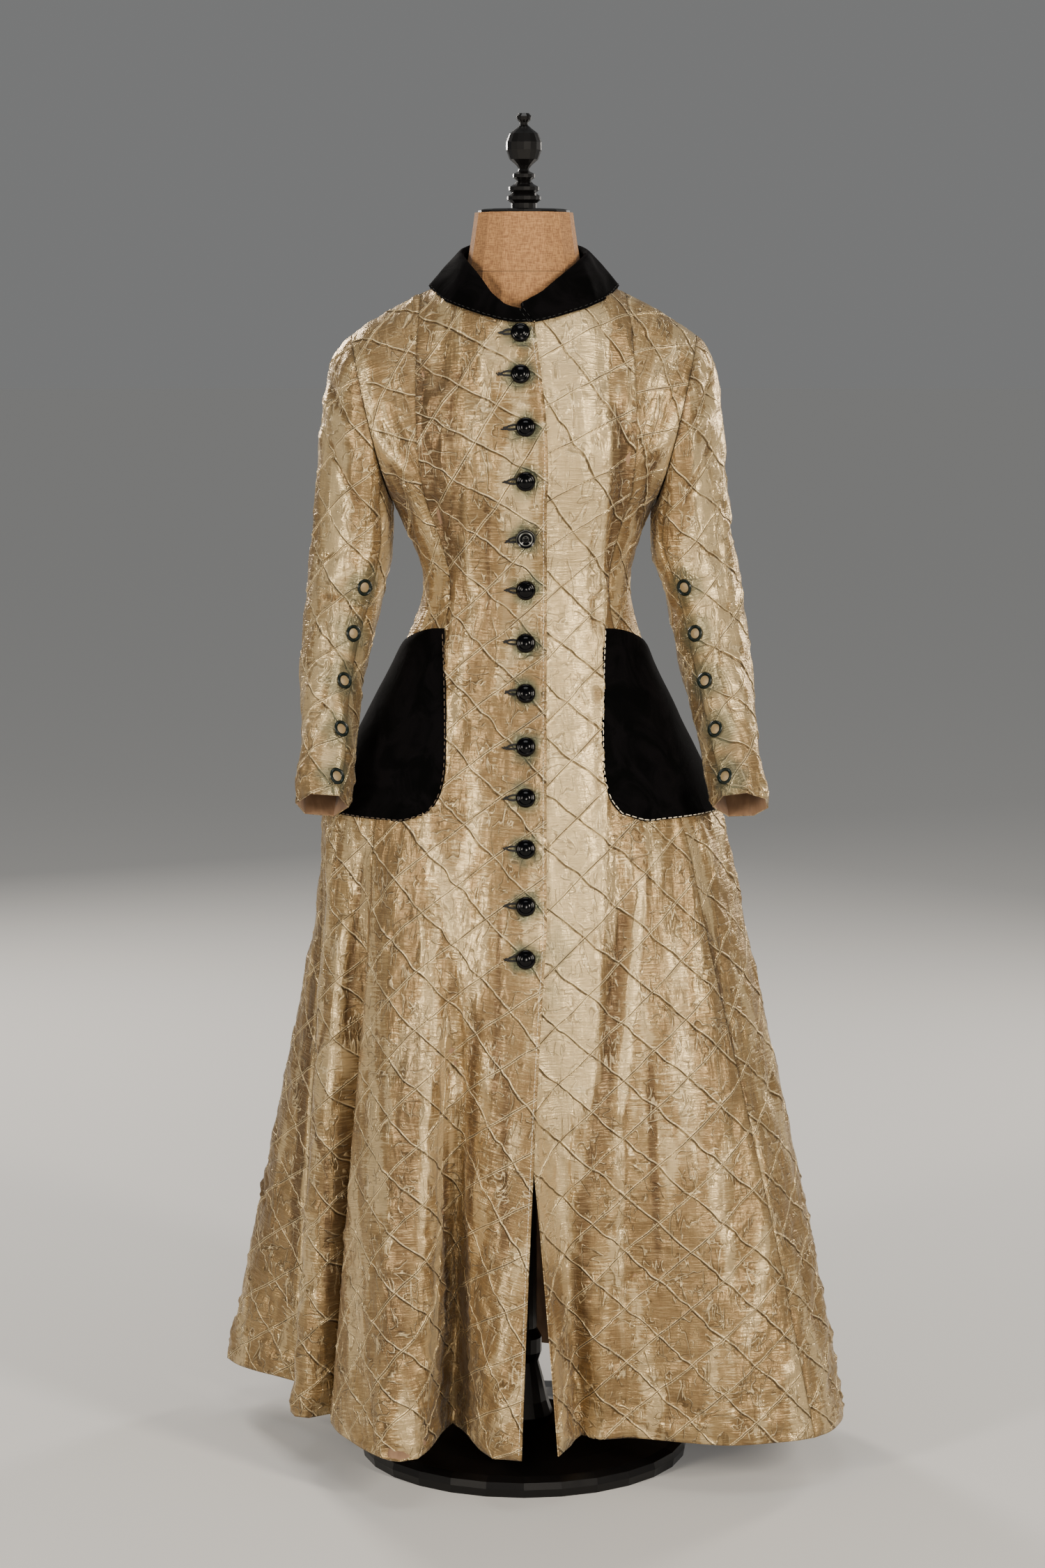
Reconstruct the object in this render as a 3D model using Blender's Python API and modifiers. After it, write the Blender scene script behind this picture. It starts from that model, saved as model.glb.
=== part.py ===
"""A floor-length quilted coat buttoned down the front, on a limbless dress form with a turned stand.

Metres, +Z up. The coat's front faces -Y, and the origin is on the floor under the stand's middle.
Right and left are the wearer's: right is -X. Tables are in millimetres.
"""
import math

import bmesh
import bpy
from mathutils import Vector
from mathutils.bvhtree import BVHTree
from mathutils.geometry import delaunay_2d_cdt

MM = 0.001

# Cloth
WALL = 2.0 * MM
SEAM_GAP = 0.3 * MM
SIDES = {"right": -1, "left": 1}
SHARP = math.radians(50)

# Raised diamond lattice
LATTICE_WIDE = 78 * MM
LATTICE_HIGH = 69 * MM
LATTICE_RISE = 1.2 * MM
LATTICE_MARGIN = 13 * MM
PIN_MARGIN = 18 * MM
GUIDE_MARGIN = 12 * MM
GUIDE_DEPTH = 14 * MM
GUIDE_FROM_EDGE = 0.03
EDGE_STEP = 36 * MM
FLAT_MERGE = 1e-7
SPINE_STEPS = 60
ROW_STEPS = 40
HALVINGS = 30
TURN_SEARCH = (-0.3, 0.6)

# Heights
HEM = 60 * MM
ARMPIT = 1165 * MM
SKIRT_ROWS = 27
CHEST_ROWS = 8

# Body sections: depths from the middle to the centre front and centre back, and half widths
BODY_COLUMNS = ("height", "front", "back", "right", "left")
BODY = (
    (60, 235, 248, 370, 375),
    (250, 226, 228, 338, 344),
    (450, 212, 205, 303, 305),
    (640, 188, 178, 268, 266),
    (800, 155, 150, 239, 234),
    (900, 130, 125, 192, 188),
    (1000, 106, 96, 141, 142),
    (1064, 98, 80, 119, 127),
    (1120, 108, 88, 134, 138),
    (1165, 118, 98, 156, 156),
)

# Skirt folds: place round the body (0 centre front, 1 side, 2 centre back), where the fold's hem
# lies, the height where it starts to leave the plain section, and how fast it grows downwards
FOLD_COLUMNS = ("name", "round", "out", "back", "top", "power")
FOLDS = {
    "right": (
        ("edge", -0.05, 0, -241, 660, 0.8),
        ("crest", 0.05, 36, -231, 700, 1.0),
        ("flank", 0.11, 60, -172, 740, 1.4),
        ("valley", 0.16, 86, -104, 760, 1.5),
        ("flank", 0.21, 104, -172, 760, 1.4),
        ("crest", 0.28, 124, -237, 780, 1.0),
        ("crest", 0.37, 165, -234, 790, 1.0),
        ("turn", 0.45, 206, -172, 795, 1.0),
        ("corner", 0.52, 234, -100, 795, 0.8),
        ("gap", 0.58, 209, -49, 795, 0.8),
        ("pleat", 0.67, 261, -84, 795, 0.9),
        ("pleat", 0.77, 285, -58, 795, 0.9),
        ("tuck", 0.88, 262, 5, 795, 0.8),
        ("side", 1.00, 285, 62, 795, 0.9),
        ("pleat", 1.12, 340, 108, 795, 0.9),
        ("pleat", 1.24, 381, 165, 795, 1.0),
        ("turn", 1.35, 352, 226, 850, 1.0),
        ("valley", 1.47, 292, 200, 860, 1.0),
        ("crest", 1.60, 236, 258, 860, 1.0),
        ("valley", 1.73, 166, 212, 860, 1.1),
        ("crest", 1.87, 92, 262, 860, 1.1),
        ("back", 2.00, 0, 244, 860, 1.0),
    ),
    "left": (
        ("edge", -0.05, 40, -231, 660, 0.7),
        ("turn", 0.01, 56, -188, 660, 0.9),
        ("valley", 0.06, 69, -148, 680, 1.1),
        ("crest", 0.12, 90, -168, 700, 1.1),
        ("valley", 0.20, 128, -160, 740, 1.1),
        ("crest", 0.30, 180, -174, 780, 1.1),
        ("crest", 0.39, 240, -188, 795, 1.0),
        ("crest", 0.48, 298, -178, 795, 1.0),
        ("seam", 0.58, 347, -158, 795, 1.0),
        ("turn", 0.75, 380, -108, 795, 1.0),
        ("side", 1.00, 386, -18, 795, 1.0),
        ("turn", 1.13, 374, 64, 795, 1.0),
        ("crest", 1.25, 348, 134, 795, 1.0),
        ("valley", 1.37, 292, 148, 860, 1.1),
        ("crest", 1.50, 258, 224, 860, 1.0),
        ("valley", 1.62, 196, 192, 860, 1.1),
        ("crest", 1.75, 140, 262, 860, 1.0),
        ("valley", 1.88, 70, 222, 860, 1.1),
        ("back", 2.00, 0, 244, 860, 1.0),
    ),
}

# Front lap and seams round the body
LAP = 26 * MM
LAP_AT_NECK = 12 * MM
LAP_LIFT = 4.6 * MM
LAP_FLAT = 34 * MM
LAP_FADE = 80 * MM
LAP_BARE = 44 * MM
SLIT_TOP = 430 * MM
FRONT_SEAM = {"right": 0.52, "left": 0.58}
BACK_SEAM = 1.5

# Neck, shoulder and armhole
NECK_WIDE = 83 * MM
NECK_FRONT = 88 * MM
NECK_BACK = 72 * MM
NECK_HEIGHT_FRONT = 1382 * MM
NECK_HEIGHT_SIDE = 1428 * MM
NECK_HEIGHT_BACK = 1438 * MM
NECKLINE_DIP = 1.5
SHOULDER_OUT = 205 * MM
SHOULDER_BACK = 8 * MM
SHOULDER_HEIGHT = 1362 * MM
SHOULDER_BUMP = 5 * MM
SHOULDER_STOPS = (0.3, 0.53, 0.76, 1.0)
NECK_STEPS = 6
ARMHOLE_FRONT = 78 * MM
ARMHOLE_BACK = 84 * MM
ARMHOLE_BOW = 0.85
CHEST_LEAD = 8 * MM
CHEST_REACH = 1.6

# How the chest's columns arrive at the top edge, at the middle and at the shoulder
TOP_REACH = {"middle": 35 * MM, "shoulder": 110 * MM}
TOP_RISE = {"middle": 110 * MM, "shoulder": 22 * MM}
TOP_SWING = math.radians(55)
SWING_FADE = 0.4
BUST_RISE = 7 * MM
BUST_TURN = 0.45
BUST_TURN_SPREAD = 0.24
BUST_HIGH = 0.22
BUST_HIGH_SPREAD = 0.3

# Steps of turn, and of the way up, that are too small to see
NUDGE = 0.004
BACK_START = 1.0001
SAME = 1e-6

# Sleeves: sections down the arm, with the half widths, the half depth and the forward lean
SLEEVE_COLUMNS = ("height", "right_out", "left_out", "back", "right_wide", "left_wide", "deep", "lean")
SLEEVE = (
    (1110, 204, 200, 6, 48, 48, 62, 0),
    (1060, 212, 213, 3, 46, 45, 60, 5),
    (1010, 221, 222, -8, 42, 42, 56, 12),
    (960, 229, 230, -28, 38, 40, 53, 19),
    (910, 231, 238, -56, 34, 37, 49, 25),
    (860, 232, 247, -87, 33, 34, 46, 28),
    (815, 237, 255, -116, 32, 34, 44, 28),
)
SLEEVE_SEAMS = {"upper": (1.375, 2.75), "under": (0.75, 1.375)}
SLEEVE_ROWS = 9
CAP_ROWS = 5
ARMHOLE_STEPS = 8

# How the sleeve cap leaves the armhole: outward at its bottom and top, and down
CAP_OUT = {"bottom": 12 * MM, "top": 117 * MM}
CAP_DOWN = 45 * MM
CAP_DOWN_BETWEEN = 50 * MM
CAP_ROLL = 20 * MM
CAP_LANDING = 0.9
CAP_GAP = 1.5 * SEAM_GAP

# Pockets: rows up the pocket, with the edge nearest the front, out from the middle
POCKET_COLUMNS = ("height", "inner_edge")
POCKET = (
    (797, 142),
    (803, 119),
    (815, 105),
    (838, 95),
    (870, 91),
    (950, 91),
    (1019, 93),
)
POCKET_REAR = 1.22
POCKET_REAR_DROP = 30 * MM
POCKET_CLEAR = 1.3 * MM
POCKET_STEPS = 11
POCKET_ROWS = 8
POCKET_CROWDING = 1.5
POCKET_AROUND = {"below": 20 * MM, "above": 15 * MM, "beside": 0.08}

# Collar: angle round the neck from the front, height of the roll, how far the roll lies inside the
# neckline, and how far outside it the outer edge falls
COLLAR_COLUMNS = ("turn", "roll", "roll_in", "edge_out")
COLLAR = (
    (0, 1391, -2, 8),
    (20, 1406, 0, 9),
    (40, 1432, 3, 14),
    (62, 1449, 8, 22),
    (88, 1458, 11, 30),
    (115, 1465, 11, 34),
    (145, 1471, 8, 33),
    (180, 1474, 6, 32),
)
COLLAR_LEFT_END = 9.5
COLLAR_WALL = 2.2 * MM
COLLAR_FOOT_RISE = 0.8 * MM
COLLAR_FOOT_IN = 1.5 * MM
COLLAR_STAND = 0.55
COLLAR_STAND_IN = 0.8 * MM
COLLAR_ROLL = 5.4 * MM
COLLAR_ROLL_RISE = 1.4 * MM
COLLAR_FALL_OUT = 1.5 * MM
COLLAR_SLOPE_SIDE = 24
COLLAR_SLOPE_MIDDLE = 66
COLLAR_CLEAR = 3.2 * MM
COAT_TOP_STEPS = 24

# Buttons
FRONT_BUTTON_HEIGHTS = (1363, 1316, 1256, 1195, 1129, 1067, 1004, 946, 885, 827, 769, 704, 644)
FRONT_BUTTON_OUT = -2
TOP_BUTTONS_OUT = {1363: 4, 1316: 4}
RING_BUTTON_HEIGHTS = (1066, 1012, 958, 904, 852)
RING_BUTTON_ROUND = 0.66
BUTTON_SEAT = 0.7 * MM
BUTTON_STEPS = 12

# Profiles of radius and height, top first: a domed button on its shank, and a ring round a low middle
FRONT_BUTTON = (
    (0, 8.6), (5.8, 8.1), (9.4, 7.2), (11.2, 5.9), (11.5, 4.6), (10.3, 3.4), (3.6, 2.8), (3.2, 0), (0, 0),
)
RING_BUTTON = ((0, 1.6), (5.4, 1.9), (7.8, 3.4), (10, 2.0), (9.2, 0.6), (7, 0), (0, 0))

# Dress form
FORM_CLEAR = 9 * MM
FORM_SEAT = 0.4 * MM
FORM_ARM_CLEAR = 12 * MM
FORM_ARM_START = 0.35
FORM_ARM_RISE = 0.2
FORM_NECK_CLEAR = 5 * MM
FORM_NECK_FADE = 0.1
FORM_TOP_START = 1.3
FORM_SEAT_START = 1.8
FORM_WAIST = 1064 * MM
FORM_RIB_ROWS = 4
FORM_MERGE = 0.4 * MM
ARM_PLATE_OUT = 100 * MM

# Rows of height, then depth to the front and the back, then half width
FORM_HIPS = (
    (735, 92, 108, 146),
    (750, 104, 120, 158),
    (800, 113, 128, 168),
    (860, 112, 124, 166),
    (920, 100, 108, 146),
    (990, 88, 84, 120),
)
FORM_NECK = (
    (1446, 64, 60, 67),
    (1470, 61, 58, 63),
    (1490, 58, 56, 60),
    (1505, 56, 54, 58),
)
FORM_QUARTER = 8
ARM_PLATE_BULGE = 4 * MM

# Stand: profiles of radius and height, top first
STAND_STEPS = 16
BASE_STEPS = 28
SCREW_MERGE = 0.05 * MM
FINIAL = (
    (0, 1621), (6, 1620.5), (9, 1617), (8, 1613), (5, 1610), (4.5, 1607), (9, 1603), (17, 1597),
    (21, 1587), (21, 1578), (17, 1567), (9, 1560), (6, 1556), (7, 1553), (13, 1550), (13, 1546),
    (8, 1542), (12, 1538), (18, 1535), (18, 1531), (14, 1528), (20, 1524), (20, 1520), (15, 1516),
    (15, 1509.4), (0, 1509.4),
)
NECK_CAP = ((0, 1509), (50, 1509), (54, 1507.5), (54, 1505.3), (0, 1505.3))
POLE = (
    (0, 734.6), (16, 734.6), (16, 700), (20, 694), (20, 684), (16, 678), (16, 150), (22, 138),
    (22, 120), (18, 108), (24, 86), (30, 60), (36, 42.3), (0, 42.3),
)
BASE = (
    (0, 42), (60, 42), (80, 38), (150, 27), (190, 23), (200, 18), (202, 10), (200, 0), (0, 0),
)

COLOURS = {
    "silk": (0.44, 0.33, 0.20, 0.42),
    "velvet": (0.008, 0.008, 0.009, 0.85),
    "button": (0.010, 0.010, 0.012, 0.12),
    "ring": (0.030, 0.040, 0.038, 0.25),
    "linen": (0.26, 0.17, 0.10, 0.80),
    "lacquer": (0.010, 0.009, 0.009, 0.25),
}


def hermite(a, b, slope_a, slope_b, t):
    t2, t3 = t * t, t * t * t
    places = a * (2 * t3 - 3 * t2 + 1) + b * (3 * t2 - 2 * t3)
    return places + slope_a * (t3 - 2 * t2 + t) + slope_b * (t3 - t2)


def curve_through(stops, values, at):
    """A smooth curve through values at rising stops, held level beyond both ends."""
    last = len(stops) - 1
    if at <= stops[0]:
        return values[0]
    if at >= stops[last]:
        return values[last]
    i = max(k for k in range(last) if stops[k] <= at)

    def slope(k):
        low, high = max(k - 1, 0), min(k + 1, last)
        return (values[high] - values[low]) / (stops[high] - stops[low])

    span = stops[i + 1] - stops[i]
    return hermite(values[i], values[i + 1], slope(i) * span, slope(i + 1) * span, (at - stops[i]) / span)


def column(table, names, name):
    place = names.index(name)
    return [row[place] for row in table]


def mix(low, high, share):
    return low + (high - low) * share


def smooth_step(t):
    t = min(max(t, 0.0), 1.0)
    return t * t * (3 - 2 * t)


BODY_SIZES = {name: [value * MM for value in column(BODY, BODY_COLUMNS, name)] for name in BODY_COLUMNS}


def body_size(name, height):
    return curve_through(BODY_SIZES["height"], BODY_SIZES[name], height)


def plain_section(side, turn, height):
    """A point on the body's section: out from the middle, and back from it."""
    angle = turn * math.pi / 2
    depth = body_size("front" if turn <= 1 else "back", height)
    return Vector((body_size(side, height) * math.sin(angle), -depth * math.cos(angle)))


def fold_moves(side):
    """How far each fold's hem lies from the plain section there."""
    moves = []
    for row in FOLDS[side]:
        fold = dict(zip(FOLD_COLUMNS, row))
        hem = Vector((fold["out"] * MM, fold["back"] * MM))
        move = hem - plain_section(side, fold["round"], HEM)
        moves.append((fold["round"], move, fold["top"] * MM, fold["power"]))
    return moves


FOLD_MOVES = {side: fold_moves(side) for side in SIDES}


def skirt_point(side, turn, height):
    flat = plain_section(side, turn, height)
    moves = FOLD_MOVES[side]
    if height < max(top for _, _, top, _ in moves):
        grown = []
        for _, move, top, power in moves:
            share = min(max((top - height) / (top - HEM), 0.0), 1.0)
            grown.append(move * share ** power)
        flat = flat + curve_through([row[0] for row in moves], grown, turn)
    return Vector((SIDES[side] * flat.x, flat.y, height))


def neck_share(seam):
    """The part of a top edge that is neckline, so that the seam meets the first shoulder stop."""
    return (seam - SHOULDER_STOPS[0]) / (1 - SHOULDER_STOPS[0])


def seam_turn(side, turn):
    """The front or back seam of this half, measured from its own middle."""
    return FRONT_SEAM[side] if turn <= 1 else 2 - BACK_SEAM


def neckline_point(side, angle):
    """Angle 0 is the centre front, and pi the centre back."""
    half = math.pi / 2
    deep = NECK_FRONT if angle <= half else NECK_BACK
    low, high = NECK_HEIGHT_SIDE, NECK_HEIGHT_FRONT if angle <= half else NECK_HEIGHT_BACK
    height = mix(low, high, abs(math.cos(angle)) ** NECKLINE_DIP)
    return Vector((SIDES[side] * NECK_WIDE * math.sin(angle), -deep * math.cos(angle), height))


def shoulder_point(side, share):
    neck = neckline_point(side, math.pi / 2)
    tip = Vector((SIDES[side] * SHOULDER_OUT, SHOULDER_BACK, SHOULDER_HEIGHT))
    point = neck.lerp(tip, share)
    point.z += SHOULDER_BUMP * math.sin(math.pi * share)
    return point


def shoulder_normal(side):
    line = shoulder_point(side, 1.0) - shoulder_point(side, 0.0)
    return Vector((-line.z, 0, line.x)).normalized() * SIDES[side]


def top_point(side, turn):
    """The top edge of the body: neckline, then shoulder seam."""
    inward = turn if turn <= 1 else 2 - turn
    neck = neck_share(seam_turn(side, turn))
    if inward >= neck:
        return shoulder_point(side, (inward - neck) / (1 - neck))
    angle = inward / neck * math.pi / 2
    return neckline_point(side, angle if turn <= 1 else math.pi - angle)


def armhole_point(side, turn, rise):
    """Rise 0 is the bottom of the armhole, and 1 the shoulder tip."""
    angle = math.pi * rise
    bottom = skirt_point(side, 1.0, ARMPIT)
    share = (1 - math.cos(angle)) / 2
    out = mix(abs(bottom.x), SHOULDER_OUT, share ** ARMHOLE_BOW)
    deep = -ARMHOLE_FRONT if turn <= 1 else ARMHOLE_BACK
    back = deep * math.sin(angle) + SHOULDER_BACK * share
    return Vector((SIDES[side] * out, back, ARMPIT + (SHOULDER_HEIGHT - ARMPIT) * share))


def chest_column(side, turn, rise):
    """A column from the armpit level to the top edge, smooth with the body below."""
    start, end = skirt_point(side, turn, ARMPIT), top_point(side, turn)
    below = skirt_point(side, turn, ARMPIT - CHEST_LEAD)
    up = (start - below) / CHEST_LEAD * (end.z - start.z)
    inward = abs(turn if turn <= 1 else 2 - turn)
    neck = neck_share(seam_turn(side, turn))
    lean = smooth_step(inward / neck)
    swing = TOP_SWING * lean * (1 - smooth_step((inward - neck) / (1 - neck) / SWING_FADE))
    reach = mix(TOP_REACH["middle"], TOP_REACH["shoulder"], lean)
    climb = mix(TOP_RISE["middle"], TOP_RISE["shoulder"], lean)
    toward = 1 if turn <= 1 else -1
    over = Vector((-SIDES[side] * reach * math.sin(swing), toward * reach * math.cos(swing), climb))
    return hermite(start, end, up, over, rise)


def body_point(side, turn, up):
    """The coat's outer face: up is 0 at the hem, 1 at the armpit and 2 at the neck and shoulder."""
    if up <= 1:
        return skirt_point(side, turn, HEM + (ARMPIT - HEM) * up)
    rise = up - 1
    point = chest_column(side, turn, rise)
    inward = abs(turn if turn <= 1 else 2 - turn)
    edge = 1.0 if turn <= 1 else BACK_START
    pull = armhole_point(side, turn, rise) - chest_column(side, edge, rise)
    point = point + pull * inward ** CHEST_REACH
    if turn <= 1:
        beside_bust = (inward - BUST_TURN) / BUST_TURN_SPREAD
        above_bust = (rise - BUST_HIGH) / BUST_HIGH_SPREAD
        bust = math.exp(-beside_bust ** 2 - above_bust ** 2)
        point.y -= BUST_RISE * bust * smooth_step(rise / BUST_HIGH)
    return point


def half_surface(side, on_back):
    """The coat's face, kept to its front or back above the armpit, where the armhole parts them."""
    def surface(turn, up):
        if up > 1:
            turn = max(turn, BACK_START) if on_back else min(turn, 1.0)
        return body_point(side, turn, up)

    return surface


def surface_normal(surface, side, turn, up, low=0.0, high=2.0):
    across = surface(turn + NUDGE, up) - surface(turn - NUDGE, up)
    along = surface(turn, min(up + NUDGE, high)) - surface(turn, max(up - NUDGE, low))
    return (across.cross(along) * SIDES[side]).normalized()


def lap_edge(side, up):
    """Where the front panel's free edge runs, beyond the centre front."""
    if up <= 1:
        height = HEM + (ARMPIT - HEM) * up
        return -math.asin(LAP / body_size(side, height)) / (math.pi / 2)
    low = lap_edge(side, 1.0)
    high = -math.asin(LAP_AT_NECK / NECK_WIDE) / (math.pi / 2) * neck_share(FRONT_SEAM[side])
    return low + (high - low) * smooth_step(up - 1)


def lap_lift(out):
    """How far the right front stands off the left one, which it laps over."""
    return LAP_LIFT * (1 - smooth_step((out - LAP_FLAT) / (LAP_FADE - LAP_FLAT)))


def new_object(name, mesh, material):
    part = bpy.data.objects.new(name, mesh)
    part.data.materials.append(material)
    COAT.objects.link(part)
    return part


def mesh_from(name, points, faces):
    mesh = bpy.data.meshes.new(name)
    mesh.from_pydata([tuple(point) for point in points], [], faces)
    mesh.shade_smooth()
    mesh.set_sharp_from_angle(angle=SHARP)
    return mesh


def wall(name, outer, inner, triangles, rim, material):
    """A closed wall from matching outer and inner points, the outer triangles and the rim's loop.

    The rim's diagonals run from the lower outer point, so that two panels match along a seam.
    """
    count = len(outer)
    faces = [tuple(face) for face in triangles]
    faces += [tuple(count + point for point in reversed(face)) for face in triangles]
    for this, after in zip(rim, rim[1:] + rim[:1]):
        corners = (after, this, count + this, count + after)
        if outer[this].z < outer[after].z:
            corners = corners[1:] + corners[:1]
        faces.append(corners[:3])
        faces.append((corners[0],) + corners[2:])
    return new_object(name, mesh_from(name, list(outer) + list(inner), faces), material)


class Cloth:
    """A panel's surface with flat cloth lengths: across from a middle line, and up from its start."""

    def __init__(self, side, surface, left, right, middle, low, high):
        self.side, self.surface, self.left, self.right = side, surface, left, right
        self.middle, self.low, self.high = middle, low, high
        self.ups = [mix(low, high, k / SPINE_STEPS) for k in range(SPINE_STEPS + 1)]
        self.lengths = [0.0]
        spine = [surface(middle, up) for up in self.ups]
        for before, after in zip(spine, spine[1:]):
            self.lengths.append(self.lengths[-1] + (after - before).length)
        self.rows = {}

    def row(self, up):
        """Turns across a row, with the cloth length from the middle line at each."""
        key = round(up, 6)
        if key not in self.rows:
            left, right = self.left(up), self.right(up)
            turns = [mix(left, right, k / ROW_STEPS) for k in range(ROW_STEPS + 1)]
            line = [self.surface(turn, up) for turn in turns]
            across = [0.0]
            for before, after in zip(line, line[1:]):
                across.append(across[-1] + (after - before).length)
            zero = interpolate(turns, across, self.middle)
            self.rows[key] = (turns, [value - zero for value in across])
        return self.rows[key]

    def flat(self, turn, up):
        turns, across = self.row(up)
        return Vector((interpolate(turns, across, turn), interpolate(self.ups, self.lengths, up)))

    def place(self, flat):
        up = interpolate(self.lengths, self.ups, flat.y)
        turns, across = self.row(up)
        return interpolate(across, turns, flat.x), up


def interpolate(stops, values, at):
    """Straight lines between stops, carried on past both ends."""
    i = 0
    while i < len(stops) - 2 and stops[i + 1] < at:
        i += 1
    share = (at - stops[i]) / (stops[i + 1] - stops[i])
    return values[i] + (values[i + 1] - values[i]) * share


def inside(loop, point, margin):
    """Whether a flat point lies within a closed loop, and at least the margin from its edges."""
    crossings = False
    for a, b in zip(loop, loop[1:] + loop[:1]):
        if (a.y > point.y) != (b.y > point.y) and point.x < a.x + (point.y - a.y) / (b.y - a.y) * (b.x - a.x):
            crossings = not crossings
        along = b - a
        share = min(max((point - a).dot(along) / along.length_squared, 0.0), 1.0)
        if (a + along * share - point).length < margin:
            return False
    return crossings


def lattice_points(loop, pins, guides):
    """Lattice crossings and diamond centres inside the loop, clear of the pins and fold lines."""
    half = Vector((LATTICE_WIDE / 2, LATTICE_HIGH / 2))
    low_x, high_x = min(p.x for p in loop), max(p.x for p in loop)
    low_y, high_y = min(p.y for p in loop), max(p.y for p in loop)
    found = {}
    for i in range(math.floor(low_x / half.x), math.ceil(high_x / half.x) + 1):
        for j in range(math.floor(low_y / half.y), math.ceil(high_y / half.y) + 1):
            point = Vector((i * half.x, j * half.y))
            if any((pin - point).length < PIN_MARGIN for pin in pins):
                continue
            if any(beside(guide, point) for guide in guides):
                continue
            if inside(loop, point, LATTICE_MARGIN):
                found[i, j] = point
    return found


def beside(guide, point):
    """Whether a flat point lies close to a fold line, which runs up the cloth."""
    if point.y > guide[-1].y + GUIDE_MARGIN:
        return False
    heights = [flat.y for flat in guide]
    return abs(interpolate(heights, [flat.x for flat in guide], point.y) - point.x) < GUIDE_MARGIN


def cloth_panel(name, cloth, ups, bottom, top, edge_shift, extra, bare, pins, guides, material):
    """One panel of quilted cloth. Its edges follow the given stops, so that neighbours match."""
    loop = [(turn, ups[0]) for turn in bottom]
    loop += [(cloth.right(up), up) for up in ups[1:-1]]
    loop += [(turn, ups[-1]) for turn in reversed(top)]
    loop += [(cloth.left(up), up) for up in reversed(ups[1:-1])]
    flats = [cloth.flat(turn, up) for turn, up in loop]
    pin_flats = [cloth.flat(turn, up) for turn, up in pins]
    guide_flats = [[cloth.flat(turn, up) for up in ups if up <= end] for turn, end in guides]
    inner_points = lattice_points(flats, pin_flats, guide_flats)
    numbers = {}
    points = list(flats)
    for key, point in inner_points.items():
        numbers[key] = len(points)
        points.append(point)
    points += pin_flats
    count = len(loop)
    edges = [(k, (k + 1) % count) for k in range(count)]
    for guide in guide_flats:
        start = len(points)
        points += guide[1:]
        edges += [(k, k + 1) for k in range(start, len(points) - 1)]
    for (i, j), number in numbers.items():
        if (i + j) % 2 == 0:
            for step in ((i + 1, j + 1), (i + 1, j - 1)):
                if step in numbers:
                    edges.append((number, numbers[step]))
    flats_out, _, triangles, origins = delaunay_2d_cdt(points, edges, [], 1, FLAT_MERGE)[:4]
    crossings = {number for (i, j), number in numbers.items() if (i + j) % 2 == 0}
    outer, inner, place_of = [], [], {}
    for place, (flat, origin) in enumerate(zip(flats_out, origins)):
        number = origin[0] if origin else None
        if number is not None and number < count:
            turn, up = loop[number]
            place_of[number] = place
        else:
            turn, up = cloth.place(Vector(flat))
        point = cloth.surface(turn, up)
        normal = surface_normal(cloth.surface, cloth.side, turn, up, cloth.low, cloth.high)
        point, normal = edge_shift(turn, up, point, normal)
        point = point + normal * extra(turn, up)
        raised = number in crossings and not bare(turn, up)
        outer.append(point + normal * (LATTICE_RISE if raised else 0.0))
        inner.append(point - normal * WALL)
    rim = [place_of[number] for number in range(count)]
    triangles = [tuple(face) for face in triangles]
    if SIDES[cloth.side] < 0:
        triangles = [tuple(reversed(face)) for face in triangles]
        rim.reverse()
    return wall(name, outer, inner, triangles, rim, material)


def even_stops(cloth, up, first, last):
    """Turns along one row, about a step of cloth apart."""
    a, b = cloth.flat(first, up).x, cloth.flat(last, up).x
    count = max(2, round(abs(b - a) / EDGE_STEP))
    turns, across = cloth.row(up)
    return [first] + [interpolate(across, turns, a + (b - a) * k / count) for k in range(1, count)] + [last]


def hem_stops(cloth, first, last, folds):
    """Turns along the hem that take in the ends of the fold lines."""
    marks = [first] + folds + [last]
    stops = []
    for a, b in zip(marks, marks[1:]):
        is_wide = cloth.flat(b, 0.0).x - cloth.flat(a, 0.0).x > EDGE_STEP
        stops += even_stops(cloth, 0.0, a, b)[:-1] if is_wide else [a]
    return stops + [last]


def fold_lines(side, first, last):
    """Fold lines between two edges, each up to where its fold has nearly faded out."""
    found = []
    for turn, move, top, power in FOLD_MOVES[side]:
        if first + GUIDE_FROM_EDGE < turn < last - GUIDE_FROM_EDGE and move.length > GUIDE_DEPTH:
            share = (GUIDE_DEPTH / move.length) ** (1 / power)
            found.append((turn, (top - share * (top - HEM) - HEM) / (ARMPIT - HEM)))
    return found


def pocket_edge(side, height):
    heights = column(POCKET, POCKET_COLUMNS, "height")
    out = curve_through(heights, column(POCKET, POCKET_COLUMNS, "inner_edge"), height / MM) * MM
    return math.asin(min(out / body_size(side, height), 1.0)) / (math.pi / 2)


def under_pocket(side, turn, up):
    height = HEM + (ARMPIT - HEM) * up
    low, high = POCKET[0][0] * MM - POCKET_AROUND["below"], POCKET[-1][0] * MM + POCKET_AROUND["above"]
    if up > 1 or not low < height < high:
        return False
    beside = POCKET_AROUND["beside"]
    return pocket_edge(side, height) - beside < turn < POCKET_REAR + beside


def across_seam(surface, turn, up, distance):
    """A short move along the surface, across a seam."""
    along = (surface(turn + NUDGE, up) - surface(turn - NUDGE, up)).normalized()
    return along * distance


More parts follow.
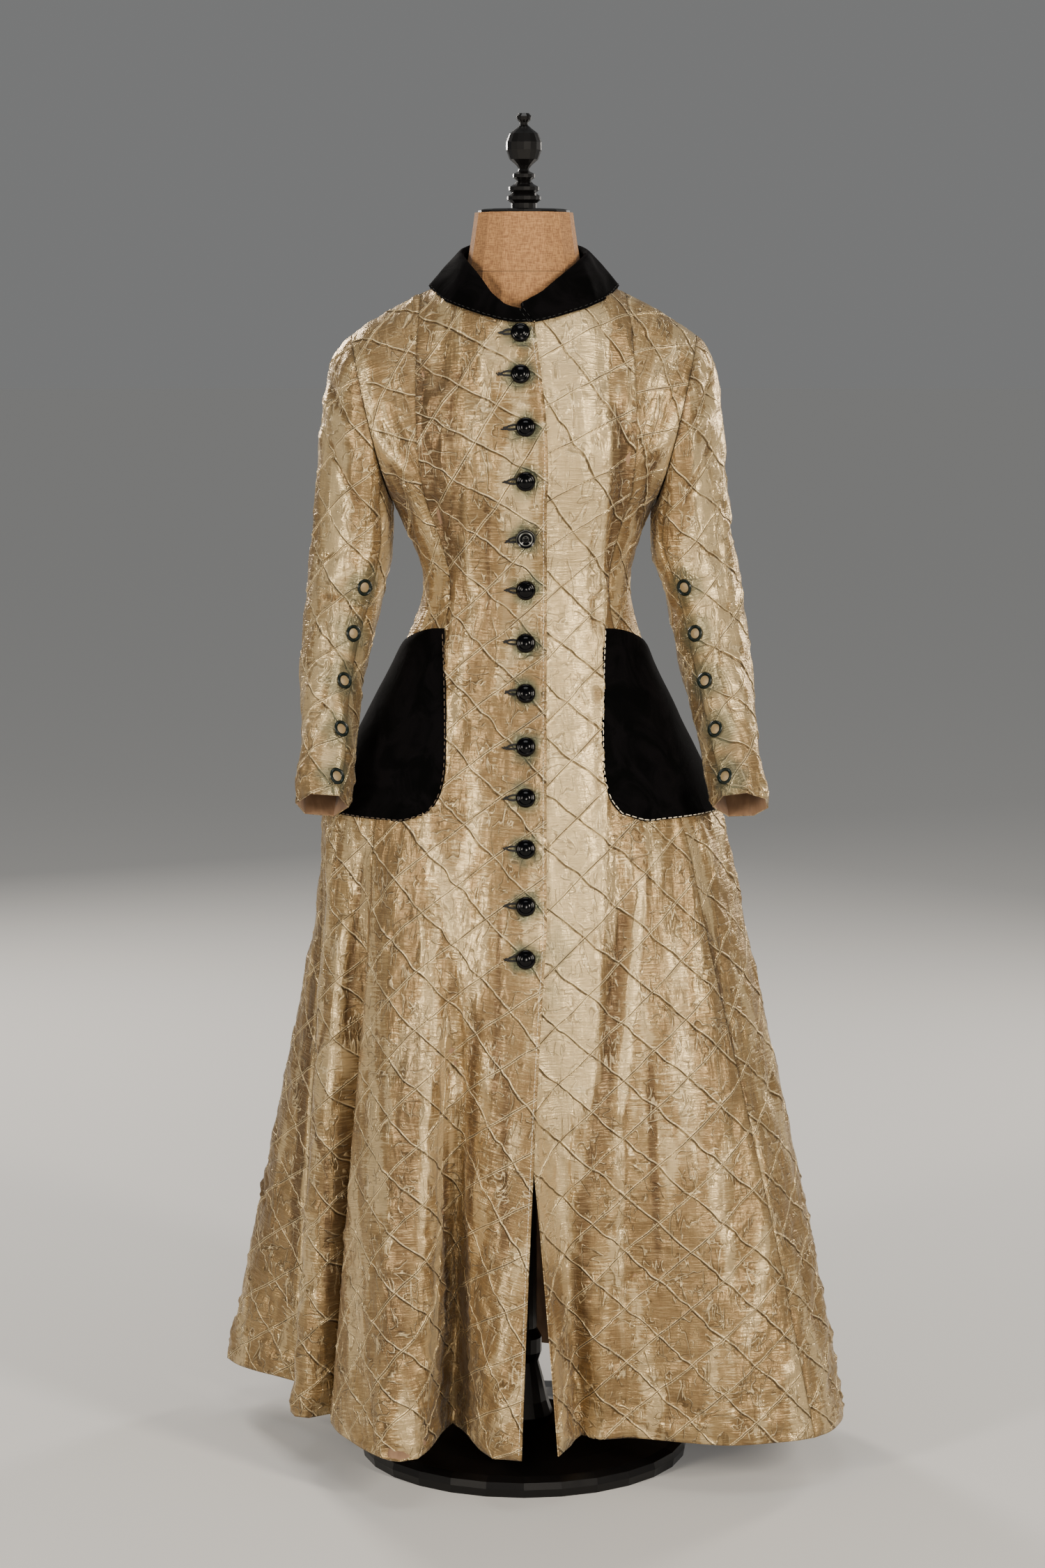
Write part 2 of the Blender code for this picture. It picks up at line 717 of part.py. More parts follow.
def body_panel(name, side, left, right, middle, is_front_edge, material, pins=()):
    surface = half_surface(side, middle > 1)
    cloth = Cloth(side, surface, left, right, middle, 0.0, 2.0)
    ups = [k / SKIRT_ROWS for k in range(SKIRT_ROWS)] + [1 + k / CHEST_ROWS for k in range(CHEST_ROWS + 1)]
    on_back = middle > 1
    neck = neck_share(seam_turn(side, middle))

    def top_stops():
        first, last = left(2.0), right(2.0)
        stops = [neck + (1 - neck) * share for share in (0.0,) + SHOULDER_STOPS]
        if on_back:
            stops = [2 - stop for stop in reversed(stops)]
        middle_stops = [stop for stop in stops if first + SAME < stop < last - SAME]
        turns = [first] + middle_stops + [last]
        finer = []
        for a, b in zip(turns, turns[1:]):
            finer.append(a)
            on_neck = b <= neck + SAME or a >= 2 - neck - SAME
            if on_neck:
                finer += [a + (b - a) * k / NECK_STEPS for k in range(1, NECK_STEPS)]
        return finer + [last]

    def edge_shift(turn, up, point, normal):
        gap = SEAM_GAP / 2
        on_shoulder = up > 2 - SAME and neck - SAME <= (turn if turn <= 1 else 2 - turn)
        if on_shoulder:
            normal = shoulder_normal(side)
            point = point + Vector((0, gap if on_back else -gap, 0))
        shift = 0.0
        if abs(turn - left(up)) < SAME and not is_front_edge:
            shift = gap
        if abs(turn - right(up)) < SAME:
            shift = -gap
        if shift:
            turn_in = min(max(turn, left(up) + NUDGE), right(up) - NUDGE)
            point = point + across_seam(surface, turn_in if up > 1 else turn, up, shift)
        return point, normal

    def extra(turn, up):
        if side != "right" or not is_front_edge:
            return 0.0
        return lap_lift(-surface(turn, up).x)

    def bare(turn, up):
        height = HEM + (ARMPIT - HEM) * up
        hidden = side == "left" and is_front_edge and height > SLIT_TOP
        return hidden and surface(turn, up).x < LAP_BARE or under_pocket(side, turn, up)

    guides = fold_lines(side, left(0.0), right(0.0))
    bottom = hem_stops(cloth, left(0.0), right(0.0), [turn for turn, _ in guides])
    return cloth_panel(name, cloth, ups, bottom, top_stops(), edge_shift, extra, bare, pins, guides, material)


def turn_at(side, out, up):
    """The turn near the centre front where the body lies this far out."""
    low, high = TURN_SEARCH
    for _ in range(HALVINGS):
        middle = (low + high) / 2
        if body_point(side, middle, up).x * SIDES[side] < out:
            low = middle
        else:
            high = middle
    return low


def up_at(side, turn, height):
    """How far up the body this height lies, on the column through a turn."""
    low, high = 0.0, 2.0
    for _ in range(HALVINGS):
        middle = (low + high) / 2
        if body_point(side, turn, middle).z < height:
            low = middle
        else:
            high = middle
    return low


def front_button_places():
    places = []
    for height in FRONT_BUTTON_HEIGHTS:
        up = up_at("right", 0.0, height * MM)
        places.append((turn_at("right", TOP_BUTTONS_OUT.get(height, FRONT_BUTTON_OUT) * MM, up), up))
    return places


def sleeve_value(name, share):
    stops = column(SLEEVE, SLEEVE_COLUMNS, "height")
    shares = [(stops[0] - stop) / (stops[0] - stops[-1]) for stop in stops]
    return curve_through(shares, column(SLEEVE, SLEEVE_COLUMNS, name), share)


def arm_point(side, turn, share):
    """A point on the sleeve below the cap: turn 0 is outside, 0.5 front, 1 inside and 1.5 back."""
    angle = math.pi * turn
    lean = math.radians(sleeve_value("lean", share))
    out = sleeve_value(side + "_out", share) + sleeve_value(side + "_wide", share) * math.cos(angle)
    reach = sleeve_value("deep", share) * math.sin(angle)
    back = sleeve_value("back", share) - reach * math.cos(lean)
    height = sleeve_value("height", share) + reach * math.sin(lean)
    return Vector((SIDES[side] * out * MM, back * MM, height * MM))


def cap_start(side, turn):
    """The armhole's point for a sleeve turn, and the way the cap leaves it."""
    turn = turn % 2
    on_front = turn <= 1
    rise = 1 - turn if on_front else turn - 1
    point = armhole_point(side, 1.0 if on_front else 1.5, rise)
    between = math.sin(math.pi * rise)
    out = mix(CAP_OUT["bottom"], CAP_OUT["top"], smooth_step(rise))
    way = Vector((SIDES[side] * out, 0, -CAP_DOWN - CAP_DOWN_BETWEEN * between))
    way.y = (-CAP_ROLL if on_front else CAP_ROLL) * between
    return point, way


def sleeve_point(side, turn, down):
    """The sleeve's outer face: down is 0 at the armhole, 1 at the end of the cap and 2 at the cuff."""
    if down >= 1:
        return arm_point(side, turn, down - 1)
    start, way = cap_start(side, turn)
    clear = Vector((SIDES[side] * CAP_GAP, 0, -CAP_GAP / 3))
    end = arm_point(side, turn, 0.0)
    below = arm_point(side, turn, NUDGE)
    fall = (below - end) / (end.z - below.z) * (start.z - end.z) * CAP_LANDING
    return hermite(start + clear, end, way, fall, down)


def sleeve_panel(name, side, piece, material, pins=()):
    first, last = SLEEVE_SEAMS[piece]
    middle = 2.0 if piece == "upper" else (first + last) / 2

    def surface(turn, down):
        return sleeve_point(side, turn, down)

    cloth = Cloth(side, surface, lambda down: first, lambda down: last, middle, 0.0, 2.0)
    downs = [k / CAP_ROWS for k in range(CAP_ROWS)] + [1 + k / SLEEVE_ROWS for k in range(SLEEVE_ROWS + 1)]
    steps = round((last - first) * ARMHOLE_STEPS)
    rim = [first + (last - first) * k / steps for k in range(steps + 1)]

    def edge_shift(turn, down, point, normal):
        shift = 0.0
        if abs(turn - first) < SAME:
            shift = SEAM_GAP / 2
        if abs(turn - last) < SAME:
            shift = -SEAM_GAP / 2
        if shift:
            point = point + across_seam(surface, turn, down, shift)
        return point, normal

    cuff = even_stops(cloth, 2.0, first, last)
    return cloth_panel(name, cloth, downs, rim, cuff, edge_shift, lambda t, d: 0.0, lambda t, d: False,
                       pins, (), material)


def down_at(side, turn, height):
    low, high = 0.0, 2.0
    for _ in range(HALVINGS):
        middle = (low + high) / 2
        if sleeve_point(side, turn, middle).z > height:
            low = middle
        else:
            high = middle
    return low


def ring_button_places(side):
    turn = 2 + RING_BUTTON_ROUND
    return [(turn, down_at(side, turn, height * MM)) for height in RING_BUTTON_HEIGHTS]


def grid_wall(name, outer, inner, material, flip=False):
    """A wall from rows of matching outer and inner points."""
    rows, steps = len(outer), len(outer[0])

    def at(row, step):
        return row * steps + step

    triangles = []
    for row in range(rows - 1):
        for step in range(steps - 1):
            a, b = at(row, step), at(row, step + 1)
            c, d = at(row + 1, step + 1), at(row + 1, step)
            triangles += [(a, b, c), (a, c, d)]
    rim = [at(0, step) for step in range(steps - 1)]
    rim += [at(row, steps - 1) for row in range(rows - 1)]
    rim += [at(rows - 1, step) for step in range(steps - 1, 0, -1)]
    rim += [at(row, 0) for row in range(rows - 1, 0, -1)]
    if flip:
        triangles = [tuple(reversed(face)) for face in triangles]
        rim.reverse()
    flat_outer = [point for line in outer for point in line]
    flat_inner = [point for line in inner for point in line]
    return wall(name, flat_outer, flat_inner, triangles, rim, material)


def pocket(side, material):
    low, high = POCKET[0][0] * MM, POCKET[-1][0] * MM
    outer, inner = [], []

    def surface(turn, up):
        return body_point(side, turn, up)

    for row in range(POCKET_ROWS + 1):
        share = (row / POCKET_ROWS) ** POCKET_CROWDING
        edge_height = low + (high - low) * share
        start = pocket_edge(side, edge_height)
        outer_row, inner_row = [], []
        for step in range(POCKET_STEPS + 1):
            way = step / POCKET_STEPS
            turn = start + (POCKET_REAR - start) * way
            height = edge_height - POCKET_REAR_DROP * share * smooth_step(way)
            up = (height - HEM) / (ARMPIT - HEM)
            point = surface(turn, up)
            normal = surface_normal(surface, side, turn, up)
            inner_row.append(point + normal * POCKET_CLEAR)
            outer_row.append(point + normal * (POCKET_CLEAR + WALL))
        outer.append(outer_row)
        inner.append(inner_row)
    return grid_wall(f"pocket_{side}", outer, inner, material, flip=SIDES[side] < 0)


def collar_value(name, degrees):
    turns = column(COLLAR, COLLAR_COLUMNS, "turn")
    return curve_through(turns, column(COLLAR, COLLAR_COLUMNS, name), degrees)


def coat_top():
    """The coat's outer face from the armpits up, to lay the collar on."""
    points, faces = [], []
    steps = COAT_TOP_STEPS
    for side in SIDES:
        for first, last in ((lap_edge(side, 2.0), 1.0), (BACK_START, 2.0)):
            start = len(points)
            turns = [mix(first, last, step / steps) for step in range(steps + 1)]
            for row in range(steps + 1):
                points += [body_point(side, turn, 1 + row / steps) for turn in turns]
            for row in range(steps):
                for step in range(steps):
                    corner = start + row * (steps + 1) + step
                    above = corner + steps + 1
                    faces.append((corner, corner + 1, above + 1, above))
    return BVHTree.FromPolygons(points, faces)


def resting(top, point, outward, clear):
    """The point, moved clear of the coat beside or below it where it has to be."""
    near, normal = top.find_nearest(point)[:2]
    if normal.dot(outward + Vector((0, 0, 1))) < 0:
        normal = -normal
    short = clear - (point - near).dot(normal)
    return point + normal * short if short > 0 else point


def collar_profile(side, angle, top):
    """The collar's middle line at one angle: foot of the stand, roll, fall and outer edge."""
    degrees = math.degrees(max(angle, 0.0))
    base = neckline_point(side, angle)
    outward = Vector((base.x, base.y, 0)).normalized()
    lift = lap_lift(abs(base.x)) if side == "right" else 0.0
    clear = COLLAR_CLEAR + COLLAR_WALL / 2 + lift
    roll = Vector((base.x, base.y, collar_value("roll", degrees) * MM))
    roll -= outward * (collar_value("roll_in", degrees) * MM - lift / 2)
    foot = base + Vector((0, 0, COLLAR_FOOT_RISE)) - outward * COLLAR_FOOT_IN
    stand = foot.lerp(roll, COLLAR_STAND) - outward * COLLAR_STAND_IN
    slope = math.radians(mix(COLLAR_SLOPE_SIDE, COLLAR_SLOPE_MIDDLE, abs(math.cos(angle))))
    reach = collar_value("edge_out", degrees) * MM
    way = outward * math.cos(slope) - Vector((0, 0, math.sin(slope)))
    edge = resting(top, base + way * reach, outward, clear)
    roll_top = roll + outward * COLLAR_ROLL / 2 + Vector((0, 0, COLLAR_ROLL_RISE))
    roll_out = roll + outward * COLLAR_ROLL
    fall = resting(top, roll_out.lerp(edge, 0.5) + outward * COLLAR_FALL_OUT, outward, clear)
    return [foot, stand, roll, roll_top, roll_out, fall, edge]


def collar_angles(side):
    """The collar's rows stand where the neckline's own points are."""
    first = -math.asin(LAP_AT_NECK / NECK_WIDE)
    half = math.pi / 2
    angles = [first + (half - first) * k / NECK_STEPS for k in range(NECK_STEPS)]
    angles += [half + half * k / NECK_STEPS for k in range(NECK_STEPS + 1)]
    return angles if side == "right" else [math.radians(COLLAR_LEFT_END)] + angles[2:]


def collar(material):
    top = coat_top()
    lines = []
    for side in SIDES:
        angles = collar_angles(side)
        if side == "left":
            angles = angles[-2::-1]
        lines += [collar_profile(side, angle, top) for angle in angles]
    outer, inner = [], []
    count = len(lines[0])
    for number, line in enumerate(lines):
        before, after = lines[max(number - 1, 0)], lines[min(number + 1, len(lines) - 1)]
        outer_row, inner_row = [], []
        for k in range(count):
            down = line[min(k + 1, count - 1)] - line[max(k - 1, 0)]
            along = after[k] - before[k]
            normal = down.cross(along).normalized()
            outer_row.append(line[k] + normal * COLLAR_WALL / 2)
            inner_row.append(line[k] - normal * COLLAR_WALL / 2)
        outer.append(outer_row)
        inner.append(inner_row)
    return grid_wall("collar", outer, inner, material)


def turned(name, profile, material, steps=STAND_STEPS):
    """A turned piece from a profile of radii and heights in millimetres, top first."""
    mesh = bpy.data.meshes.new(name)
    points = [(radius * MM, 0, height * MM) for radius, height in profile]
    mesh.from_pydata(points, [(k, k + 1) for k in range(len(points) - 1)], [])
    part = new_object(name, mesh, material)
    screw = part.modifiers.new("Turn", "SCREW")
    screw.steps = screw.render_steps = steps
    screw.use_merge_vertices = True
    screw.merge_threshold = SCREW_MERGE
    screw.use_smooth_shade = True
    return part


def seat(part, point, normal):
    part.location = point + normal * BUTTON_SEAT
    part.rotation_euler = normal.to_track_quat("Z", "Y").to_euler()


def front_buttons(material):
    def surface(turn, up):
        return body_point("right", turn, up)

    for number, (turn, up) in enumerate(front_button_places(), start=1):
        button = turned(f"front_button_{number:02d}", FRONT_BUTTON, material, BUTTON_STEPS)
        normal = surface_normal(surface, "right", turn, up)
        seat(button, surface(turn, up) + normal * LAP_LIFT, normal)


def ring_buttons(side, material):
    def surface(turn, down):
        return sleeve_point(side, turn, down)

    for number, (turn, down) in enumerate(ring_button_places(side), start=1):
        name = f"cuff_ring_{side}_{number}"
        button = turned(name, RING_BUTTON, material, BUTTON_STEPS)
        normal = surface_normal(surface, side, turn, down)
        seat(button, surface(turn, down), normal)


def form_point(side, turn, up):
    """The dress form under the coat, from the waist up. It carries the coat along the shoulders."""
    surface = half_surface(side, turn > 1)
    point = surface(turn, up)
    inward = turn if turn <= 1 else 2 - turn
    neck = neck_share(seam_turn(side, turn))
    by_shoulder = smooth_step(inward / neck) * smooth_step((up - FORM_TOP_START) / (2 - FORM_TOP_START))
    normal = surface_normal(surface, side, min(max(turn, NUDGE), 2 - NUDGE), up)
    normal = normal.lerp(shoulder_normal(side), by_shoulder).normalized()
    if inward < SAME:
        normal.x = 0.0
    first, second, third = SHOULDER_STOPS[:3]
    share = max(inward - neck, 0.0) / (1 - neck)
    rest = smooth_step(share / first) * (1 - smooth_step((share - second) / (third - second)))
    high = smooth_step((up - FORM_SEAT_START) / (2 - FORM_SEAT_START))
    clear = mix(FORM_CLEAR, FORM_SEAT, rest * high)
    by_neck = 1 - smooth_step(share / FORM_NECK_FADE)
    neckward = Vector((point.x, point.y, 0)).normalized() * FORM_NECK_CLEAR * high * by_neck
    by_arm = smooth_step((share - FORM_ARM_START) / (1 - FORM_ARM_START))
    by_arm *= smooth_step((up - 1) / FORM_ARM_RISE)
    aside = Vector((SIDES[side] * FORM_ARM_CLEAR * by_arm, 0, 0))
    return point - normal * (WALL + clear) - neckward - aside


def form_ring(height, front, back, wide):
    ring = []
    for side, turn in form_turns():
        angle = turn * math.pi / 2
        deep = front if turn <= 1 else back
        ring.append(Vector((SIDES[side] * wide * math.sin(angle), -deep * math.cos(angle), height)))
    return ring


def form_turns():
    """Once round the form: down its left side from the front, and back up its right side."""
    turns = [("left", k / FORM_QUARTER) for k in range(2 * FORM_QUARTER)]
    return turns + [("right", k / FORM_QUARTER) for k in range(2 * FORM_QUARTER, 0, -1)]


def dress_form(material):
    """Hips and waist from rings, chest from the coat's own columns, then neck rings."""
    build = bmesh.new()

    def skin(low, high, closed=True):
        count = len(low)
        lows = [build.verts.new(point) for point in low]
        highs = [build.verts.new(point) for point in high]
        for k in range(count if closed else count - 1):
            after = (k + 1) % count
            build.faces.new((lows[k], lows[after], highs[after], highs[k]))

    rows = [form_ring(*(value * MM for value in row)) for row in FORM_HIPS]
    for k in range(FORM_RIB_ROWS + 1):
        height = mix(FORM_WAIST, ARMPIT, k / FORM_RIB_ROWS)
        up = (height - HEM) / (ARMPIT - HEM)
        rows.append([form_point(side, turn, up) for side, turn in form_turns()])
    for low, high in zip(rows, rows[1:]):
        skin(low, high)
    build.faces.new([build.verts.new(point) for point in reversed(rows[0])])
    ups = [1 + k / CHEST_ROWS for k in range(CHEST_ROWS + 1)]
    for side in SIDES:
        for start in (0.0, 1.0):
            turns = [start + k / FORM_QUARTER for k in range(FORM_QUARTER + 1)]
            if start:
                turns[0] = BACK_START
            tops = chest_turns(side, start)
            lines = []
            for up in ups:
                line = [form_point(side, chest_turn(*pair, up), up) for pair in zip(turns, tops)]
                lines.append(line if side == "left" else line[::-1])
            for low, high in zip(lines, lines[1:]):
                skin(low, high, closed=False)
    bmesh.ops.remove_doubles(build, verts=build.verts, dist=FORM_MERGE)
    close_arm_plates(build)
    close_neck(build)
    bmesh.ops.recalc_face_normals(build, faces=build.faces)
    mesh = bpy.data.meshes.new("dress_form")
    build.to_mesh(mesh)
    build.free()
    mesh.shade_smooth()
    mesh.set_sharp_from_angle(angle=SHARP)
    return new_object("dress_form", mesh, material)


def chest_turns(side, start):
    """Turns along the top edge: shoulder stops, then even steps along the neckline."""
    neck = neck_share(seam_turn(side, 0.0 if not start else 2.0))
    stops = [neck + (1 - neck) * share for share in (0.0,) + SHOULDER_STOPS]
    steps = FORM_QUARTER - len(SHOULDER_STOPS)
    turns = [neck * k / steps for k in range(steps)] + stops
    return [2 - turn for turn in reversed(turns)] if start else turns


def chest_turn(turn, top, up):
    """A column's turn glides from its even place at the armpit to its stop on the top edge."""
    return mix(turn, top, smooth_step(up - 1))


def boundary_loops(build):
    left = {edge for edge in build.edges if edge.is_boundary}
    loops = []
    while left:
        edge = left.pop()
        loop, vert = [edge.verts[0]], edge.verts[1]
        while vert is not loop[0]:
            loop.append(vert)
            edge = next(other for other in vert.link_edges if other in left)
            left.remove(edge)
            vert = edge.other_vert(vert)
        loops.append(loop)
    return loops


def close_arm_plates(build):
    for loop in boundary_loops(build):
        middle = sum((vert.co for vert in loop), Vector()) / len(loop)
        if abs(middle.x) > ARM_PLATE_OUT:
            away = ARM_PLATE_BULGE if middle.x > 0 else -ARM_PLATE_BULGE
            tip = build.verts.new(middle + Vector((away, 0, 0)))
            for a, b in zip(loop, loop[1:] + loop[:1]):
                build.faces.new((a, b, tip))


def close_neck(build):
    loop = max(boundary_loops(build), key=len)
    below = loop
    for height, front, back, wide in FORM_NECK:
        ring = []
        for vert in loop:
            angle = math.atan2(vert.co.x / NECK_WIDE, -vert.co.y / NECK_FRONT)
            deep = front if abs(angle) <= math.pi / 2 else back
            place = (wide * MM * math.sin(angle), -deep * MM * math.cos(angle), height * MM)
            ring.append(build.verts.new(place))
        for k in range(len(ring)):
            after = (k + 1) % len(ring)
            build.faces.new((below[k], below[after], ring[after], ring[k]))
        below = ring
    build.faces.new(below)


def material_for(name):
    red, green, blue, roughness = COLOURS[name]
    material = bpy.data.materials.new(name)
    material.use_nodes = True
    shader = material.node_tree.nodes["Principled BSDF"]
    shader.inputs["Base Color"].default_value = (red, green, blue, 1)
    shader.inputs["Roughness"].default_value = roughness
    material.diffuse_color = (red, green, blue, 1)
    return material


def coat_body(silk):
    pins = front_button_places()
    for side in SIDES:
        seam = FRONT_SEAM[side]

        def at(turn):
            return lambda up: turn

        body_panel(f"front_{side}", side, lambda up: lap_edge(side, up), at(seam), 0.0, True, silk,
                   pins if side == "right" else ())
        body_panel(f"side_front_{side}", side, at(seam), at(1.0), (seam + 1) / 2, False, silk)
        body_panel(f"side_back_{side}", side, at(1.0), at(BACK_SEAM), (1 + BACK_SEAM) / 2, False, silk)
        body_panel(f"back_{side}", side, at(BACK_SEAM), at(2.0), 2.0, False, silk)


def sleeves(silk):
    for side in SIDES:
        sleeve_panel(f"upper_sleeve_{side}", side, "upper", silk, ring_button_places(side))
        sleeve_panel(f"under_sleeve_{side}", side, "under", silk)


for old in list(bpy.data.objects):
    bpy.data.objects.remove(old, do_unlink=True)
COAT = bpy.data.collections.new("Long coat on a dress form")
bpy.context.scene.collection.children.link(COAT)
MATERIALS = {name: material_for(name) for name in COLOURS}

coat_body(MATERIALS["silk"])
sleeves(MATERIALS["silk"])
for which in SIDES:
    pocket(which, MATERIALS["velvet"])
    ring_buttons(which, MATERIALS["ring"])
collar(MATERIALS["velvet"])
front_buttons(MATERIALS["button"])
dress_form(MATERIALS["linen"])
turned("neck_cap", NECK_CAP, MATERIALS["lacquer"])
turned("finial", FINIAL, MATERIALS["lacquer"])
turned("pole", POLE, MATERIALS["lacquer"])
turned("stand_base", BASE, MATERIALS["lacquer"], BASE_STEPS)
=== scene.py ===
"""The looks of a long quilted silk coat on a dress form. Sizes are in millimetres unless a name says metres."""

import functools
import math
import random

import bmesh
import bpy
import numpy as np
from mathutils import Matrix, Vector
from mathutils.geometry import delaunay_2d_cdt
from mathutils.kdtree import KDTree


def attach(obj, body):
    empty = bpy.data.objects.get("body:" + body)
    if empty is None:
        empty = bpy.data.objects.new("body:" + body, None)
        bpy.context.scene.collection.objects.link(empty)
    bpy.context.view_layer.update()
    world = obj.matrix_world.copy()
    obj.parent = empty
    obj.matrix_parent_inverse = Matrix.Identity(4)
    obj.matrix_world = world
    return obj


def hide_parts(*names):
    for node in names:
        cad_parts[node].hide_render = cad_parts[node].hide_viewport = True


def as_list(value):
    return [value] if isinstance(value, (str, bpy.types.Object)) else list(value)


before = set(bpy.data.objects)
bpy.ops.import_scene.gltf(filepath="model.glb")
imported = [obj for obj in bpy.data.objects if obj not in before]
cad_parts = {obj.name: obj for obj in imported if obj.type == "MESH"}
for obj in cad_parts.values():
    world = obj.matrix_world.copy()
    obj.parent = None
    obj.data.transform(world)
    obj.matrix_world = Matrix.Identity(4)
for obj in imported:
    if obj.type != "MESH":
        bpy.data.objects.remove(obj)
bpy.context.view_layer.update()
MM = 0.001

# Form and stand
# A limbless form: a hard shell padded and covered in brown linen, seamed round the neck, on a turned wooden
# pole and base in black lacquer, with a cap and finial screwed on its neck. The solids keep their own shapes.
NECK_SEAM_METRES, SEAM_HALF_METRES = 1.436, 0.0011
SOFT = {"interpolation_type": "SMOOTHSTEP"}


def linear(text):
    """An sRGB colour, written as it looks on a screen, in linear values."""
    values = [int(text[k:k + 2], 16) / 255 for k in (1, 3, 5)]
    return tuple(v / 12.92 if v <= 0.04045 else ((v + 0.055) / 1.055) ** 2.4 for v in values) + (1.0,)


def fill(node, *inputs, **named):
    """Gives a node's inputs values or other nodes' outputs, in order or by name."""
    pairs = list(zip([socket for socket in node.inputs if socket.enabled], inputs))
    pairs += [(node.inputs[name.replace("_", " ")], given) for name, given in named.items()]
    for socket, given in pairs:
        if isinstance(given, bpy.types.NodeSocket):
            node.id_data.links.new(given, socket)
        else:
            socket.default_value = given


def add_node(tree, kind, *inputs, out=None, **named):
    """Adds a node and gives one of its outputs. Its settings' names have small letters, its inputs' capitals."""
    node = tree.nodes.new("ShaderNode" + kind)
    for name, setting in named.items():
        if name.islower():
            setattr(node, name, setting)
    fill(node, *inputs, **{name: given for name, given in named.items() if not name.islower()})
    return node.outputs[out] if out else next(socket for socket in node.outputs if socket.enabled)


def new_material(name, colour, roughness, **settings):
    """A material, the way to add nodes to it, and its shader."""
    material = bpy.data.materials.new(name)
    material.use_nodes = True
    shader = material.node_tree.nodes["Principled BSDF"]
    fill(shader, Base_Color=linear(colour), Roughness=roughness, **settings)
    material.diffuse_color = linear(colour)
    return material, functools.partial(add_node, material.node_tree), shader


def weighed(add, *parts):
    """The sum of values, each times its weight."""
    whole = None
    for given, weight in parts:
        part = add("Math", given, weight, operation="MULTIPLY")
        whole = part if whole is None else add("Math", whole, part, operation="ADD")
    return whole


def linen():
    """Brown linen, plain woven: dull, with slubbed threads both ways and a dark line at the neck seam.

    Its threads are drawn about 1.1 mm apart, coarser than real ones, so that they show.
    """
    material, add, shader = new_material("plain-woven brown linen", "#A98C6C", 0.9, Sheen_Weight=0.03)
    place = add("TexCoord", out="Object")
    warp, weft = (add("TexNoise", add("Mapping", place, Scale=cells), Scale=1.0, Detail=2.0)
                  for cells in ((900, 900, 90), (120, 120, 1100)))
    weave = add("Math", warp, weft, operation="ADD")
    above = add("Math", add("SeparateXYZ", place, out="Z"), NECK_SEAM_METRES, operation="SUBTRACT")
    off = add("Math", above, operation="ABSOLUTE")
    seam = add("MapRange", off, 0.3 * SEAM_HALF_METRES, SEAM_HALF_METRES, 1.0, 0.0, **SOFT)
    threads = add("MapRange", weave, 0.75, 1.25, **SOFT)
    colour = add("Mix", threads, linear("#7C5636"), linear("#A87C4E"), data_type="RGBA")
    colour = add("Mix", weighed(add, (seam, 0.6)), colour, linear("#5C4630"), data_type="RGBA")
    relief = add("Math", weave, weighed(add, (seam, 2.5)), operation="SUBTRACT")
    fill(shader, Base_Color=colour, Normal=add("Bump", Strength=0.35, Distance=0.3 * MM, Height=relief))
    return material


def polished(name, colour, roughness, spread, coat=0.0, metallic=0.0):
    """A hard polished or lacquered finish: sharp highlights, broken a little by faint waves and wear."""
    material, add, shader = new_material(name, colour, roughness, Coat_Weight=coat, Coat_Roughness=0.08,
                                         Metallic=metallic, Specular_IOR_Level=0.18)
    place = add("TexCoord", out="Object")
    worn, waves = (add("TexNoise", place, Scale=cells, Detail=3.0) for cells in (60.0, 140.0))
    fill(shader, Roughness=add("MapRange", worn, 0.0, 1.0, roughness - spread, roughness + spread),
         Normal=add("Bump", Strength=0.1, Distance=0.3 * MM, Height=waves))
    return material


LINEN, LACQUER = linen(), polished("black lacquered wood", "#0A0909", 0.32, 0.06, coat=0.2)
for name in ("dress_form", "neck_cap", "finial", "pole", "stand_base"):
    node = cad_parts[name]
    node.data.materials.clear()
    node.data.materials.append(LINEN if name == "dress_form" else LACQUER)
    node.data.shade_smooth()

# Cloth of the coat
# Silk taffeta quilted to a thin wadding along a lattice of diamonds, cut in panels and hung from the form. Each
# piece is a thin shell on its solid's outer skin: the skin is opened flat, a grid that follows the sewn lattice
# is laid on the flat shape, and each point goes back to the skin, smoothed.
LATTICE_WIDE, LATTICE_HIGH = 78.0, 69.0
LINE_PITCH = 1 / math.hypot(1 / LATTICE_WIDE, 1 / LATTICE_HIGH)
ACROSS_HEAVY = np.array([LINE_PITCH / LATTICE_WIDE, LINE_PITCH / LATTICE_HIGH])
ACROSS_FINE = np.array([LINE_PITCH / LATTICE_WIDE, -LINE_PITCH / LATTICE_HIGH])
STITCH_PITCH = 3.4
# The grid: its lines beside each sewn line, its count between them, and its steps where it is plain
CORD_STOPS = (0.8, 1.9)
BETWEEN = 12
INNER_STEP, EDGE_STEP, CLOUD_STEP = 16.0, 5.5, 3.5
# How far the skin's points are smoothed together
SMOOTHING = 27.0
# The silk's thickness, and how much more the wadding adds away from the rim
SHELL, LOFT = 2.0, 2.0
# A face with an edge shorter than the solid's wall belongs to the rim
RIM_EDGE = 2.7
SHARP_CORNER = math.radians(35)
# The lattice leans from the waist up, and fully from this much above it
WAIST_HIGH, LEAN_RISE = 1000.0, 320.0


def joined(faces):
    """The faces in groups that hang together."""
    groups, left = [], set(faces)
    for face in sorted(faces, key=lambda face: face.index):
        queue = [face] if face in left else []
        left -= {face}
        group = []
        while queue:
            group.append(queue.pop())
            beside = {other for edge in group[-1].edges for other in edge.link_faces} & left
            left -= beside
            queue.extend(sorted(beside, key=lambda other: other.index))
        if group:
            groups.append(group)
    return groups


